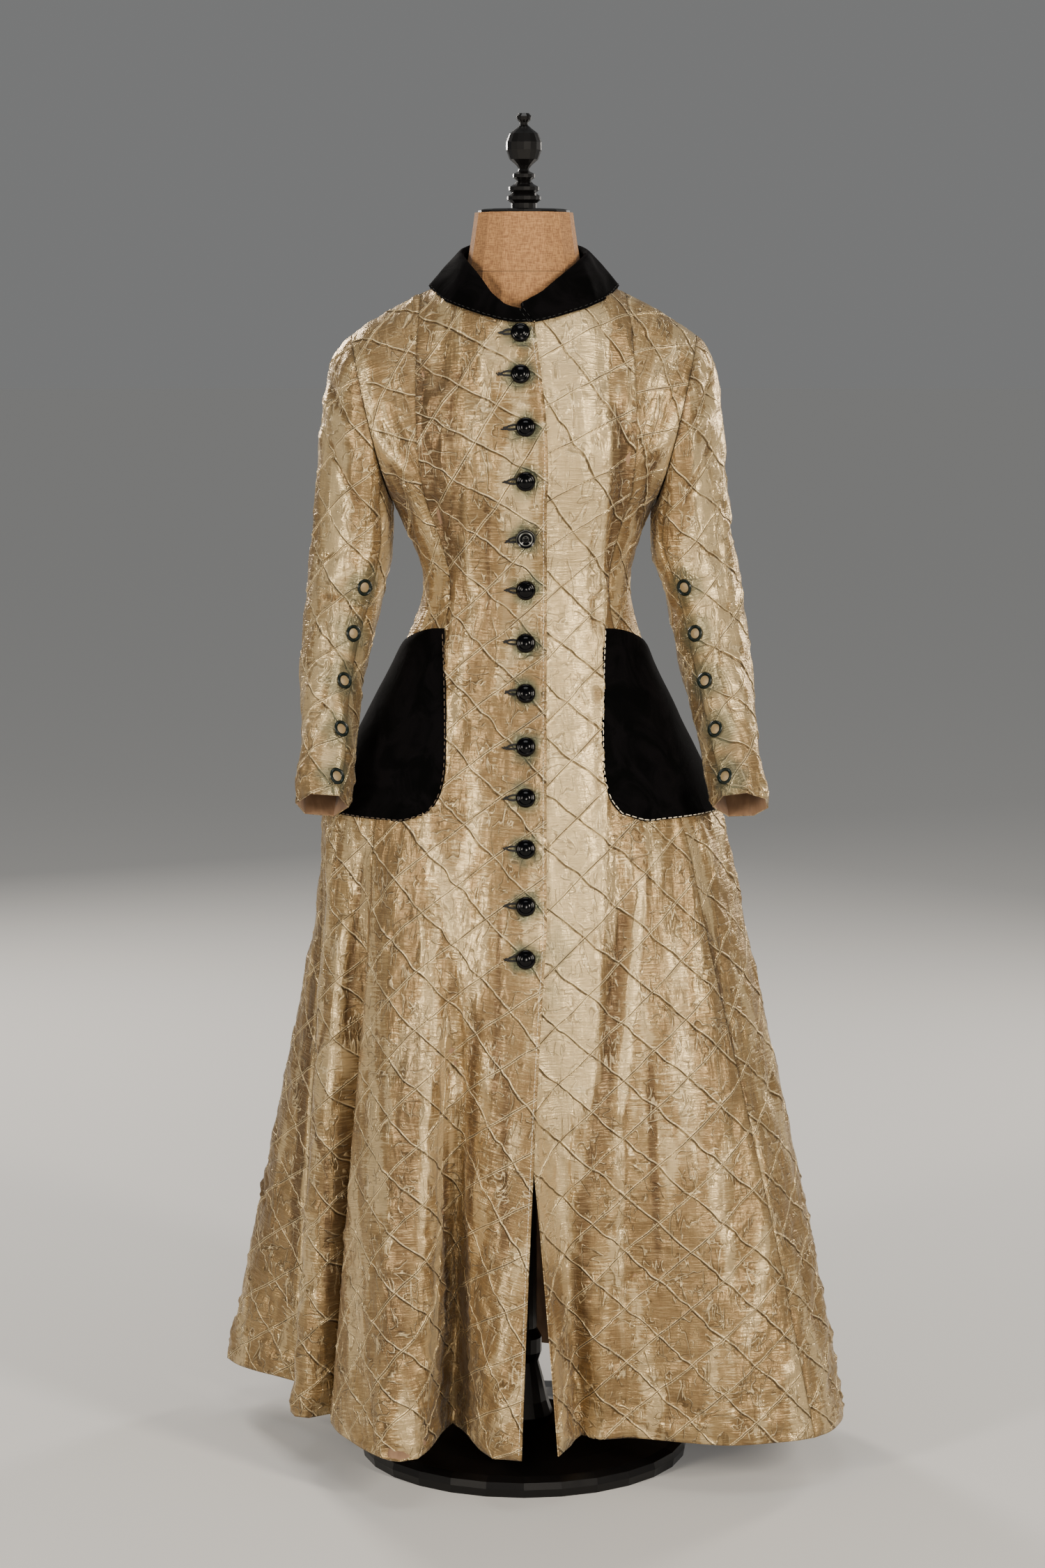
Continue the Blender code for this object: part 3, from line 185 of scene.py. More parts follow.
def boundary(triangles):
    """The boundary loop, in the order of the triangles' own turn."""
    sides = {(a, b) for t in triangles for a, b in ((t[0], t[1]), (t[1], t[2]), (t[2], t[0]))}
    after = {a: b for a, b in sides if (b, a) not in sides}
    loops = []
    while after:
        loop = [min(after)]
        while loop[-1] in after:
            loop.append(after.pop(loop[-1]))
        loops.append(loop[:-1])
    return max(loops, key=len)


def skin(node):
    """The outer skin of a walled solid: points in millimetres, triangles, and the boundary in order."""
    work = bmesh.new()
    work.from_mesh(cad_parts[node].data)
    bmesh.ops.remove_doubles(work, verts=work.verts, dist=0.01 * MM)
    bmesh.ops.triangulate(work, faces=work.faces)
    rim = {face for face in work.faces if min(edge.calc_length() for edge in face.edges) < RIM_EDGE * MM}
    bmesh.ops.delete(work, geom=max(joined(rim), key=len), context="FACES")
    best = max(joined(set(work.faces)), key=lambda sheet: sum(face.calc_area() for face in sheet))
    verts = sorted({vert for face in best for vert in face.verts}, key=lambda vert: vert.index)
    number = {vert: k for k, vert in enumerate(verts)}
    points = np.array([vert.co for vert in verts]) / MM
    triangles = np.array([[number[vert] for vert in face.verts] for face in best])
    work.free()
    return points, triangles, boundary(triangles)


def flattened(points, triangles):
    """Flat cloth coordinates: u to the right and v up, as seen from outside, at real size."""
    mesh = bpy.data.meshes.new("flat")
    mesh.from_pydata((points * MM).tolist(), [], triangles.tolist())
    sheet = bpy.data.objects.new("flat", mesh)
    bpy.context.scene.collection.objects.link(sheet)
    for other in bpy.context.selected_objects:
        other.select_set(False)
    bpy.context.view_layer.objects.active = sheet
    sheet.select_set(True)
    bpy.ops.object.mode_set(mode="EDIT")
    bpy.ops.mesh.select_all(action="SELECT")
    bpy.ops.uv.unwrap(method="ANGLE_BASED", margin=0.0)
    bpy.ops.object.mode_set(mode="OBJECT")
    flat = np.zeros((len(points), 2))
    for loop, place in zip(mesh.loops, mesh.uv_layers.active.data):
        flat[loop.vertex_index] = place.uv
    bpy.data.objects.remove(sheet)
    bpy.data.meshes.remove(mesh)
    a, b, c = (flat[triangles[:, k]] for k in range(3))
    opened = (b - a)[:, 0] * (c - a)[:, 1] - (b - a)[:, 1] * (c - a)[:, 0]
    p, q, r = (points[triangles[:, k]] for k in range(3))
    real = np.linalg.norm(np.cross(q - p, r - p), axis=1).sum()
    if opened.sum() < 0:
        flat[:, 0] *= -1
    flat *= math.sqrt(real / abs(opened).sum())
    spread = np.column_stack([flat, np.ones(len(flat))])
    rise = np.linalg.lstsq(spread, points[:, 2], rcond=None)[0][:2]
    up = rise / np.linalg.norm(rise)
    return flat @ np.array([[up[1], up[0]], [-up[0], up[1]]])


def curved_loop(flat, points, loop):
    """The boundary, with more points along smooth curves between its own, and sharp at its corners."""
    both = np.hstack([flat, points])[loop]
    count = len(both)
    ways = []
    for k in range(count):
        before, after = both[k] - both[k - 1], both[(k + 1) % count] - both[k]
        cosine = before[2:] @ after[2:] / (np.linalg.norm(before[2:]) * np.linalg.norm(after[2:]))
        ways.append((before + after) / 2 if cosine > math.cos(SHARP_CORNER) else None)
    found = []
    for k in range(count):
        a, b = both[k], both[(k + 1) % count]
        way_a = b - a if ways[k] is None else ways[k]
        way_b = b - a if ways[(k + 1) % count] is None else ways[(k + 1) % count]
        steps = max(1, round(np.linalg.norm((b - a)[2:]) / EDGE_STEP))
        for step in range(steps):
            t = step / steps
            found.append(a * (1 + 2 * t) * (1 - t) ** 2 + way_a * t * (1 - t) ** 2
                         + b * t * t * (3 - 2 * t) - way_b * t * t * (1 - t))
    return np.array(found)


def smoothed(flat, points, at, reach):
    """A smooth surface through the skin's points: place and outward normal at flat coordinates."""
    places, normals = np.zeros((len(at), 3)), np.zeros((len(at), 3))
    order = np.argsort(at[:, 1])
    for some in np.array_split(order, max(1, len(at) // 800)):
        low, high = at[some, 1].min() - 3 * reach, at[some, 1].max() + 3 * reach
        near = (flat[:, 1] > low) & (flat[:, 1] < high)
        away = (flat[near][None] - at[some][:, None]) / reach
        u, v = away[..., 0], away[..., 1]
        weight = np.exp(-u * u - v * v) + 1e-9
        basis = np.stack([np.ones_like(u), u, v, u * u, u * v, v * v], axis=-1)
        weighted = (basis * weight[..., None]).transpose(0, 2, 1)
        left = weighted @ basis + np.diag([0, 0, 0, 1, 1, 1]) * 1e-3
        solved = np.linalg.solve(left, weighted @ points[near])
        places[some] = solved[:, 0]
        normals[some] = np.cross(solved[:, 1], solved[:, 2])
    return places, normals / np.linalg.norm(normals, axis=1, keepdims=True)


def on_triangles(flat, points, triangles, at):
    """The skin's own places, between its points along straight lines, at flat coordinates."""
    corners = [flat[triangles[:, k]] for k in range(3)]

    def turned(a, b):
        return a[..., 0] * b[..., 1] - a[..., 1] * b[..., 0]

    whole = turned(corners[1] - corners[0], corners[2] - corners[0])
    away = [corner[None] - at[:, None] for corner in corners]
    shares = np.stack([turned(away[1], away[2]), turned(away[2], away[0]), turned(away[0], away[1])], axis=-1)
    shares /= whole[None, :, None]
    best = shares.min(axis=-1).argmax(axis=1)
    chosen = np.clip(shares[np.arange(len(at)), best], 0, None)
    chosen /= chosen.sum(axis=1, keepdims=True)
    return np.einsum("nk,nkj->nj", chosen, points[triangles[best]])


def edge_distance(at, ring):
    """For flat points: whether inside the ring, the distance to it, and the nearest of its points."""
    inside = np.zeros(len(at), bool)
    nearest = np.full(len(at), np.inf)
    number = np.zeros(len(at), int)
    for k, (a, b) in enumerate(zip(ring, np.roll(ring, -1, axis=0))):
        crosses = (a[1] > at[:, 1]) != (b[1] > at[:, 1])
        reach = a[0] + (at[:, 1] - a[1]) / (b[1] - a[1] if b[1] != a[1] else 1) * (b[0] - a[0])
        inside ^= crosses & (at[:, 0] < reach)
        along = b - a
        share = np.clip((at - a) @ along / (along @ along), 0, 1)
        away = np.linalg.norm(a + share[:, None] * along - at, axis=1)
        closer = away < nearest
        nearest[closer] = away[closer]
        number[closer] = np.where(share[closer] < 0.5, k, (k + 1) % len(ring))
    return inside, nearest, number


def noise(points, seed):
    """Smooth noise from -1 to 1 at flat points, the same in each run."""
    turned = points @ np.array([[0.866, 0.5], [-0.5, 0.866]]) + seed * 7.31
    cell = np.floor(turned).astype(np.int64)
    share = turned - cell
    share = share * share * (3 - 2 * share)

    def corner(du, dv):
        mixed = (cell[:, 0] + du) * 374761393 + (cell[:, 1] + dv) * 668265263 + seed * 1442695041
        mixed = (mixed ^ (mixed >> 13)) * 1274126177
        return ((mixed ^ (mixed >> 16)) & 0xFFFF) / 32767.5 - 1

    low = corner(0, 0) * (1 - share[:, 0]) + corner(1, 0) * share[:, 0]
    high = corner(0, 1) * (1 - share[:, 0]) + corner(1, 1) * share[:, 0]
    return low * (1 - share[:, 1]) + high * share[:, 1]


def fade(value, full, none):
    """1 where value is up to full, falling smoothly to 0 at none."""
    share = np.clip((value - full) / (none - full), 0, 1)
    return 1 - share * share * (3 - 2 * share)


def waver(at, seed):
    """How far the sewn lines wander from straight: the heavy ones more than the fine ones."""
    heavy = 2.2 * noise(at / 19, seed + 301) + 1.0 * noise(at / 9, seed + 303)
    fine = 1.0 * noise(at / 27, seed + 302)
    return heavy[:, None] * ACROSS_HEAVY + fine[:, None] * ACROSS_FINE


def turned_by(points, angle):
    """Flat points turned about the origin, each by its own angle."""
    cosine, sine = np.cos(angle), np.sin(angle)
    x, y = points[:, 0], points[:, 1]
    return np.column_stack([x * cosine - y * sine, x * sine + y * cosine])


def lattice_grid(ring, phase):
    """Points of a straight grid that has its lines on the stitched lattice and close beside it."""
    shift = ring - phase
    a = shift[:, 0] / LATTICE_WIDE + shift[:, 1] / LATTICE_HIGH
    b = shift[:, 0] / LATTICE_WIDE - shift[:, 1] / LATTICE_HIGH
    near = [stop / LINE_PITCH for stop in CORD_STOPS]
    free = 1 - 2 * near[-1]
    even = [near[-1] + free * k / BETWEEN for k in range(1, BETWEEN)]
    shares = [0.0] + near + even + [1 - share for share in near[::-1]]

    def stops(low, high):
        return np.array([line + share for line in range(math.floor(low), math.ceil(high)) for share in shares])

    across, down = (part.ravel() for part in np.meshgrid(stops(a.min(), a.max()), stops(b.min(), b.max())))
    return np.column_stack([LATTICE_WIDE * (across + down) / 2, LATTICE_HIGH * (across - down) / 2]) + phase


def plain_grid(ring, step):
    """Points of a plain grid over the ring's reach, with every other row shifted by half a step."""
    low, high = ring.min(axis=0), ring.max(axis=0)
    us, vs = np.meshgrid(np.arange(low[0], high[0], step), np.arange(low[1], high[1], step))
    return np.column_stack([us.ravel() + (np.round(vs.ravel() / step) % 2) * step / 2, vs.ravel()])


def from_line(at, line):
    """Distance from a line of flat points, and how far along it the nearest place is, from 0 to 1."""
    line = np.array(line, float)
    lengths = np.linalg.norm(np.diff(line, axis=0), axis=1)
    starts = np.concatenate([[0], np.cumsum(lengths)])
    best, along = np.full(len(at), np.inf), np.zeros(len(at))
    for a, b, start, length in zip(line[:-1], line[1:], starts, lengths):
        share = np.clip((at - a) @ (b - a) / length ** 2, 0, 1)
        away = np.linalg.norm(a + share[:, None] * (b - a) - at, axis=1)
        closer = away < best
        best[closer] = away[closer]
        along[closer] = start + share[closer] * length
    return best, along / starts[-1]


class Sheet:
    """One face of a shell: flat points, triangles, places, normals, and distance from the edge."""

    def __init__(self, outline, grid, lay):
        count = len(outline)
        edges = [(k, (k + 1) % count) for k in range(count)]
        solved = delaunay_2d_cdt([Vector(point) for point in np.vstack([outline, grid])], edges, [], 1, 1e-5)
        self.flat, self.triangles = np.array(solved[0]), np.array(solved[2])
        self.ring = [0] * count
        for place, numbers in enumerate(solved[3]):
            for number in numbers:
                if number < count:
                    self.ring[number] = place
        _, self.away, nearest = edge_distance(self.flat, outline)
        self.away[self.ring] = 0.0
        self.places, self.normals = lay(self.flat, self.away, nearest, self.ring)
        self.height = np.zeros(len(self.flat))
        self.common = np.zeros(len(self.flat))

    def raise_by(self, amount):
        """Raises what both faces of the cloth share."""
        self.height += amount
        self.common += amount

    def underside(self):
        """The inner face's level: the shared hollows, and the cloth's thickness, more away from the rim."""
        return np.minimum(self.common, 0) * 0.9 - SHELL - LOFT * fade(-self.away, -14.0, 0.0)


class Shell:
    """One cloth piece: a fine outer face, a coarser inner face, and what is painted on it."""

    def __init__(self, node, crossing=None, seed=0, lean=0.0, step=5.0, smoothing=SMOOTHING, close=False):
        self.node, self.seed, self.lean = node, seed, math.radians(lean)
        points, triangles, loop = skin(node)
        flat = flattened(points, triangles)
        ring = curved_loop(flat, points, loop)
        outline = ring[:, :2]
        self.phase = np.zeros(2)
        at_waist = flat[np.abs(points[:, 2] - WAIST_HIGH) < 60]
        self.waist = at_waist.mean(axis=0) if len(at_waist) else flat.mean(axis=0)
        if crossing:
            reach = np.linalg.norm(points[:, [0, 2]] - crossing, axis=1)
            near = np.argsort(reach)[:3]
            weight = 1 / (reach[near] + 1)
            self.phase = weight @ flat[near] / weight.sum()

        known_flat, known = flat, points
        if close:
            cloud = plain_grid(outline, CLOUD_STEP)
            cloud = cloud[edge_distance(cloud, outline)[0]]
            known_flat = np.vstack([outline, cloud])
            known = np.vstack([ring[:, 2:], on_triangles(flat, points, triangles, cloud)])

        def lay(at, away, nearest, rim):
            places, normals = smoothed(known_flat, known, at, smoothing)
            missed = ring[:, 2:] - places[rim]
            places += missed[nearest] * fade(away, 0.0, 0.9 * smoothing)[:, None]
            places[rim] = ring[:, 2:]
            return places, normals

        fine_grid = plain_grid(outline, step)
        if crossing:
            fine_grid = self.drawn(lattice_grid(self.straight(outline), self.phase))
        sheets = []
        for grid, gap in ((fine_grid, EDGE_STEP * 0.4), (plain_grid(outline, INNER_STEP), INNER_STEP * 0.5)):
            inside, away, _ = edge_distance(grid, outline)
            sheets.append(Sheet(outline, grid[inside & (away > gap)], lay))
        self.outer, self.inner = sheets
        self.outline = outline
        # The tint's channels: grey-green tarnish; brown stain; a tone from 0.5 that rises for the pale strip and
        # for painted highlight bands, and falls for painted shade bands; and nearness to the edge
        self.tint = np.zeros((len(self.outer.flat), 4))
        self.tint[:, 2] = 0.5
        # The fourth channel is nearness to the edge, which the silk paints as shade along the seams
        self.tint[:, 3] = fade(self.outer.away, 0.0, 3.5)
        self.size = outline.max(axis=0) - outline.min(axis=0)
        a, b = outline, np.roll(outline, -1, axis=0)
        self.area = abs((a[:, 0] * b[:, 1] - a[:, 1] * b[:, 0]).sum()) / 2

    def leaning(self, even):
        """The angle by which the straight lattice is turned at places above the waist."""
        share = np.clip((even[:, 1] - self.waist[1]) / LEAN_RISE, 0, 1)
        return self.lean * share * share * (3 - 2 * share)

    def drawn(self, even):
        """Where points of the straight lattice come on the cloth, which leans above the waist and wavers."""
        return turned_by(even - self.waist, self.leaning(even)) + self.waist + waver(even, self.seed)

    def straight(self, at):
        """The straight lattice's points that come at places on the cloth."""
        even = at
        for _ in range(14):
            even = turned_by(at - waver(even, self.seed) - self.waist, -self.leaning(even)) + self.waist
        return even

    def lattice(self, at):
        """Lattice coordinates: whole numbers on the heavy and on the fine lines."""
        shift = (self.straight(at) - self.phase) / (LATTICE_WIDE, LATTICE_HIGH)
        return shift[:, 0] + shift[:, 1], shift[:, 0] - shift[:, 1]

    def nearest(self, x, z):
        """The outer point nearest a place in the front view."""
        sheet = self.outer
        away = np.hypot(sheet.places[:, 0] - x, sheet.places[:, 2] - z)
        return int(np.argmin(np.where(sheet.normals[:, 1] < 0, away, away + 1e4)))

    def on_cloth(self, x, z, lift):
        """A place just over the outer face, seen at x and z from the front."""
        k = self.nearest(x, z)
        place = self.outer.places[k] + self.outer.normals[k] * self.outer.height[k]
        normal = self.outer.normals[k]
        y = place[1] - ((x - place[0]) * normal[0] + (z - place[2]) * normal[2]) / normal[1]
        return np.array([x, y, z]) + normal * lift

    def flat_line(self, line):
        """Flat places under a line seen from the front."""
        return [self.outer.flat[self.nearest(x, z)] for x, z in line]

    def crease(self, flat_line, width, depth):
        """A soft ridge, or a trough where depth is negative, that dies out at both ends."""
        for sheet in (self.outer, self.inner):
            away, along = from_line(sheet.flat, flat_line)
            ends = np.clip(np.minimum(along, 1 - along) / 0.22, 0, 1)
            soft = fade(-sheet.away, -10.0, -1.0)
            sheet.raise_by(depth * np.exp(-(away / width) ** 1.5) * np.sqrt(ends) * soft)

    def tone(self, flat_line, width, strength):
        """A painted highlight band along a line, or a painted shade band where strength is negative."""
        away, along = from_line(self.outer.flat, flat_line)
        ends = np.sqrt(np.clip(np.minimum(along, 1 - along) / 0.2, 0, 1))
        ragged = width * (1 + 0.35 * noise(self.outer.flat / (9, 21), self.seed + 5))
        self.tint[:, 2] += 0.5 * strength * fade(away, 0.45 * ragged, 1.15 * ragged) * ends

    def spot(self, x, z, radius, channel, strength, squeeze):
        """A mark round a place: channel 0 is grey-green tarnish, channel 1 a brown stain."""
        centre = self.outer.flat[self.nearest(x, z)]
        shift = (self.outer.flat - centre) * (1, squeeze)
        ragged = radius * (1 + 0.3 * noise(self.outer.flat / 7, self.seed + 9))
        mark = strength * fade(np.linalg.norm(shift, axis=1), 0.25 * ragged, 1.2 * ragged)
        self.tint[:, channel] = np.maximum(self.tint[:, channel], mark)

    def object(self, name, materials, slot, held, rests_on):
        """The closed shell as a Blender object, attached to the root in place of its solid, which is hidden."""
        outer, inner = self.outer, self.inner
        count = len(outer.flat)
        above = outer.places + outer.normals * outer.height[:, None]
        below = inner.places + inner.normals * inner.underside()[:, None]
        ring, under = np.array(outer.ring), np.array(inner.ring) + count
        after, under_after = np.roll(ring, -1), np.roll(under, -1)
        rim = np.vstack([np.column_stack([after, ring, under]), np.column_stack([after, under, under_after])])
        faces = np.vstack([outer.triangles, rim, inner.triangles[:, ::-1] + count])
        mesh = bpy.data.meshes.new(name)
        mesh.from_pydata((np.vstack([above, below]) * MM).tolist(), [], faces.tolist())
        corners = np.empty(len(mesh.loops), int)
        mesh.loops.foreach_get("vertex_index", corners)
        flat = np.vstack([outer.flat, inner.flat])
        layers = {"cloth": (flat - self.phase) * MM, "lattice": np.column_stack(self.lattice(flat))}
        for layer, values in layers.items():
            mesh.uv_layers.new(name=layer).data.foreach_set("uv", values[corners].ravel())
        tint = mesh.color_attributes.new("tint", "FLOAT_COLOR", "POINT")
        plain = np.tile([0.0, 0.0, 0.5, 0.0], (len(inner.flat), 1))
        tint.data.foreach_set("color", np.clip(np.vstack([self.tint, plain]), 0, 1).ravel())
        for material in materials:
            mesh.materials.append(material)
        index = np.zeros(len(faces), int)
        index[len(outer.triangles) + len(rim):] = len(materials) - 1
        mesh.polygons.foreach_set("material_index", index)
        mesh.shade_smooth()
        mesh.set_sharp_from_angle(angle=math.radians(70))
        piece = bpy.data.objects.new(name, mesh)
        bpy.context.scene.collection.objects.link(piece)
        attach(piece, "root")
        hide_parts(self.node)
        cut = tuple(float(value) * MM for value in self.size)
        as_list(rests_on)
        return piece


def crinkle(add, cloth, cells, detail=3.0, rough=0.55, distortion=0.0, ridged=False, turn=0.3):
    """Unevenness on the flat cloth, with so many cells to the metre along each direction."""
    kind = "RIDGED_MULTIFRACTAL" if ridged else "FBM"
    place = add("Mapping", cloth, Scale=(*cells, 1), Rotation=(0, 0, turn))
    return add("TexNoise", place, noise_dimensions="2D", noise_type=kind, Scale=1.0, Detail=detail,
               Roughness=rough, Distortion=distortion)


def silk():
    """Champagne silk taffeta, plain woven, quilted and crushed: a metallic sheen, and a painted sheen in toothed
    patches;
    short sharp creases with a painted highlight beside painted shade; painted highlights and shade on crinkles,
    folds and bands; a cord with its painted shadow on one set of lines, and beaded stitches with painted shade in
    their sunk line on the other; painted shade along the seams.

    Its threads are drawn 0.5 and 0.7 mm apart, some four times as coarse as real ones.
    """
    material, add, shader = new_material(
        "crushed champagne silk taffeta", "#A88C64", 0.34, Metallic=0.5, Sheen_Weight=0.1, Sheen_Roughness=0.4,
        Anisotropic=0.3, Specular_Tint=linear("#F0DCB4"))
    cloth = add("UVMap", uv_map="cloth")
    u, v = add("SeparateXYZ", cloth).node.outputs[:2]
    heavy_place, fine_place = add("SeparateXYZ", add("UVMap", uv_map="lattice")).node.outputs[:2]

    def off_line(place):
        """Millimetres from the nearest sewn line, with a sign."""
        shifted = add("Math", add("Math", place, 0.5, operation="ADD"), operation="FRACT")
        return weighed(add, (add("Math", shifted, 0.5, operation="SUBTRACT"), LINE_PITCH))

    def band(distance, middle, full, none):
        """1 near the middle, up to full away from it, and 0 from none on."""
        away = add("Math", add("Math", distance, middle, operation="SUBTRACT"), operation="ABSOLUTE")
        return add("MapRange", away, full, none, 1.0, 0.0, **SOFT)

    on_heavy, on_fine = off_line(heavy_place), off_line(fine_place)
    uneven = add("MapRange", crinkle(add, cloth, (60, 60), 2.0), 0.3, 0.6, 0.55, 1.0, **SOFT)
    cord = weighed(add, (band(on_heavy, 0.6, 0.4, 1.2), uneven))
    shadow = weighed(add, (band(on_heavy, -1.2, 0.5, 1.5), uneven))
    bead = add("Math", weighed(add, (heavy_place, 2 * math.pi * LINE_PITCH / STITCH_PITCH)), operation="SINE")
    beaded = add("MapRange", bead, -0.5, 0.5, 0.55, 1.0, **SOFT)
    twin = weighed(add, (band(add("Math", on_fine, operation="ABSOLUTE"), 1.0, 0.35, 0.95), beaded))
    # The slot paints shade into the sunk stitch line between the twin lines
    slot = band(on_fine, 0.0, 0.1, 0.65)

    teeth = crinkle(add, cloth, (34, 400), 3.0, 0.6, turn=0.0)
    drape = crinkle(add, cloth, (19, 4.5), 2.0, 0.5, 0.4, turn=0.12)
    slant = crinkle(add, cloth, (34, 8), 3.0, 0.5, 0.5, turn=-0.4)
    streak = crinkle(add, cloth, (42, 5), 4.0, 0.6, 0.4)
    weft = crinkle(add, cloth, (80, 1500), 2.0, 0.6, turn=0.0)
    crush = crinkle(add, cloth, (60, 20), 3.0, 0.5, 0.5, ridged=True)
    small = crinkle(add, cloth, (190, 60), 3.0, 0.5, 0.8, ridged=True)

    # Short sharp creases: pinch paints a highlight along each crease, and beside paints a shade just off it
    pinch = beside = None
    for cells, turn, patches in (((46, 15), 0.42, 26.0), ((26, 44), -0.35, 31.0), ((70, 16), 0.05, 37.0)):
        level = crinkle(add, cloth, cells, 2.0, 0.45, 0.3, turn=turn)
        part = add("MapRange", crinkle(add, cloth, (patches, patches), 2.0, 0.6, turn=turn), 0.50, 0.57, **SOFT)
        bright = weighed(add, (band(level, 0.5, 0.003, 0.016), part))
        deep = weighed(add, (band(level, 0.528, 0.006, 0.022), part))
        pinch = bright if pinch is None else add("Math", pinch, bright, operation="MAXIMUM")
        beside = deep if beside is None else add("Math", beside, deep, operation="MAXIMUM")

    tint, seam_shade_near = add("VertexColor", layer_name="tint").node.outputs[:2]
    tarnish, stain, tone = add("SeparateColor", tint).node.outputs[:3]
    # Painted shade along the seams, strongest at each panel's edge
    seam = add("MapRange", seam_shade_near, 0.35, 0.95, **SOFT)
    # pale and brown: the pale strip's own tone, with painted highlight and painted shade bands along folds and
    # where light falls
    pale = add("MapRange", tone, 0.5, 1.0, **SOFT)
    brown = add("MapRange", tone, 0.5, 0.0, **SOFT)
    patchy = add("MapRange", crinkle(add, cloth, (9, 9), 2.0), 0.36, 0.62, 0.4, 1.0, **SOFT)
    busy = weighed(add, (patchy, add("MapRange", pale, 0.2, 0.9, 1.0, 0.4, **SOFT)))

    # Painted sheen: a mask for where the silk is painted paler, as if catching the light, and browner, as if turned
    # from it
    sheen = weighed(add, (drape, 0.58), (slant, 0.26), (teeth, 0.17), (pale, 0.10), (brown, -0.07))
    light = add("MapRange", sheen, 0.530, 0.560, **SOFT)
    dark = add("MapRange", sheen, 0.500, 0.470, **SOFT)
    soft = add("MapRange", weighed(add, (streak, 0.6), (slant, 0.4)), 0.38, 0.62, **SOFT)
    colour = add("Mix", soft, linear("#8A704B"), linear("#A48A60"), data_type="RGBA")
    # light and dark paint the sheen as paler and browner patches; teeth paints the toothed edge of the sheen. Weft,
    # cord, twin, tarnish and stain are the cloth's own colour.
    for factor, weight, shade in (
            (light, 0.56, "#E6CE9E"), (dark, 0.36, "#6C553A"), (pale, 0.72, "#E6CD9C"), (brown, 0.88, "#503A27"),
            # Painted shade in the hollows of the crushed cloth, and a painted highlight on its tops
            (add("MapRange", crush, 0.9, 0.4, **SOFT), 0.24, "#5A442C"),
            (add("MapRange", crush, 1.1, 1.5, **SOFT), 0.16, "#E6D0A2"),
            (add("MapRange", teeth, 0.52, 0.66, **SOFT), 0.12, "#E2CA9A"),
            (add("MapRange", weft, 0.50, 0.66, **SOFT), 0.12, "#E2CA9A"),
            # beside and pinch: painted shade and painted highlight of the short creases; shadow: the cord's painted
            # shadow
            (beside, 0.44, "#3E2D1B"), (pinch, 0.42, "#EEDAAE"), (shadow, 0.85, "#362614"), (cord, 0.75, "#E8D2A4"),
            # slot: painted shade in the sunk stitch line; seam: painted shade along the seams
            (slot, 0.70, "#3E2D1B"), (twin, 0.64, "#E8D2A4"), (seam, 0.42, "#3A2A18"),
            (tarnish, 0.85, "#525C4C"), (stain, 0.8, "#4A3826")):
        colour = add("Mix", weighed(add, (factor, weight)), colour, linear(shade), data_type="RGBA")
    rough = weighed(add, (soft, -0.08), (light, -0.08), (dark, 0.06), (pale, 0.10), (teeth, -0.08))

    creased = weighed(add, (crush, 0.90), (small, 0.30), (pinch, 0.60), (beside, -0.50), (drape, 1.8), (slant, 2.2))
    relief = weighed(add, (weighed(add, (creased, busy)), 1.0), (streak, 0.8), (teeth, 0.55), (weft, 0.08),
                     (cord, 0.34), (shadow, -0.30), (twin, 0.20), (slot, -0.12))
    bump = add("Bump", Strength=1.0, Distance=1.6 * MM, Height=relief)
    warp, weft_threads = (add("Math", weighed(add, (along, 2 * math.pi / (pitch * MM))), operation="SINE")
                          for along, pitch in ((u, 0.5), (v, 0.7)))
    woven = add("Bump", Strength=0.12, Distance=0.12 * MM, Height=weighed(add, (warp, weft_threads)), Normal=bump)
    fill(shader, Base_Color=colour, Roughness=add("Math", rough, 0.32, operation="ADD"), Normal=woven)
    return material


def silk_reverse():
    """The wrong side of the quilting, plain woven and unpressed: brown, dull and worn in long patches."""
    material, add, shader = new_material("unpressed silk reverse", "#7C5E42", 0.7, Sheen_Weight=0.2)
    wear = crinkle(add, add("UVMap", uv_map="cloth"), (30, 12), 4.0)
    worn = add("MapRange", wear, 0.35, 0.65, **SOFT)
    fill(shader, Base_Color=add("Mix", worn, linear("#6A4E36"), linear("#8E6E50"), data_type="RGBA"),
         Normal=add("Bump", Strength=0.5, Distance=1.0 * MM, Height=wear))
    return material


SILK, REVERSE = silk(), silk_reverse()

# Coat body and sleeves
# Eight panels from neck to hem and two-piece sleeves, sewn edge to edge, the wearer's right front lapped over
# the left. Each row gives a lattice crossing seen from the front or back, a seed for the unevenness, and the
# angle by which the lattice leans over the chest.
PANELS = (
    ("front_right", (-60.0, 560.0), 1, 13.0),
    ("side_front_right", (-190.0, 640.0), 2, 9.0),
    ("side_back_right", (-230.0, 600.0), 3, 0.0),
    ("back_right", (-60.0, 700.0), 4, 0.0),
    ("front_left", (113.0, 632.0), 5, -12.0),
    ("side_front_left", (235.0, 640.0), 6, -9.0),
    ("side_back_left", (230.0, 600.0), 7, 0.0),
    ("back_left", (60.0, 700.0), 8, 0.0),
    ("upper_sleeve_right", (-215.0, 1120.0), 9, 0.0),
    ("under_sleeve_right", (-180.0, 1000.0), 10, 0.0),
    ("upper_sleeve_left", (215.0, 1120.0), 11, 0.0),
    ("under_sleeve_left", (180.0, 1000.0), 12, 0.0),
)
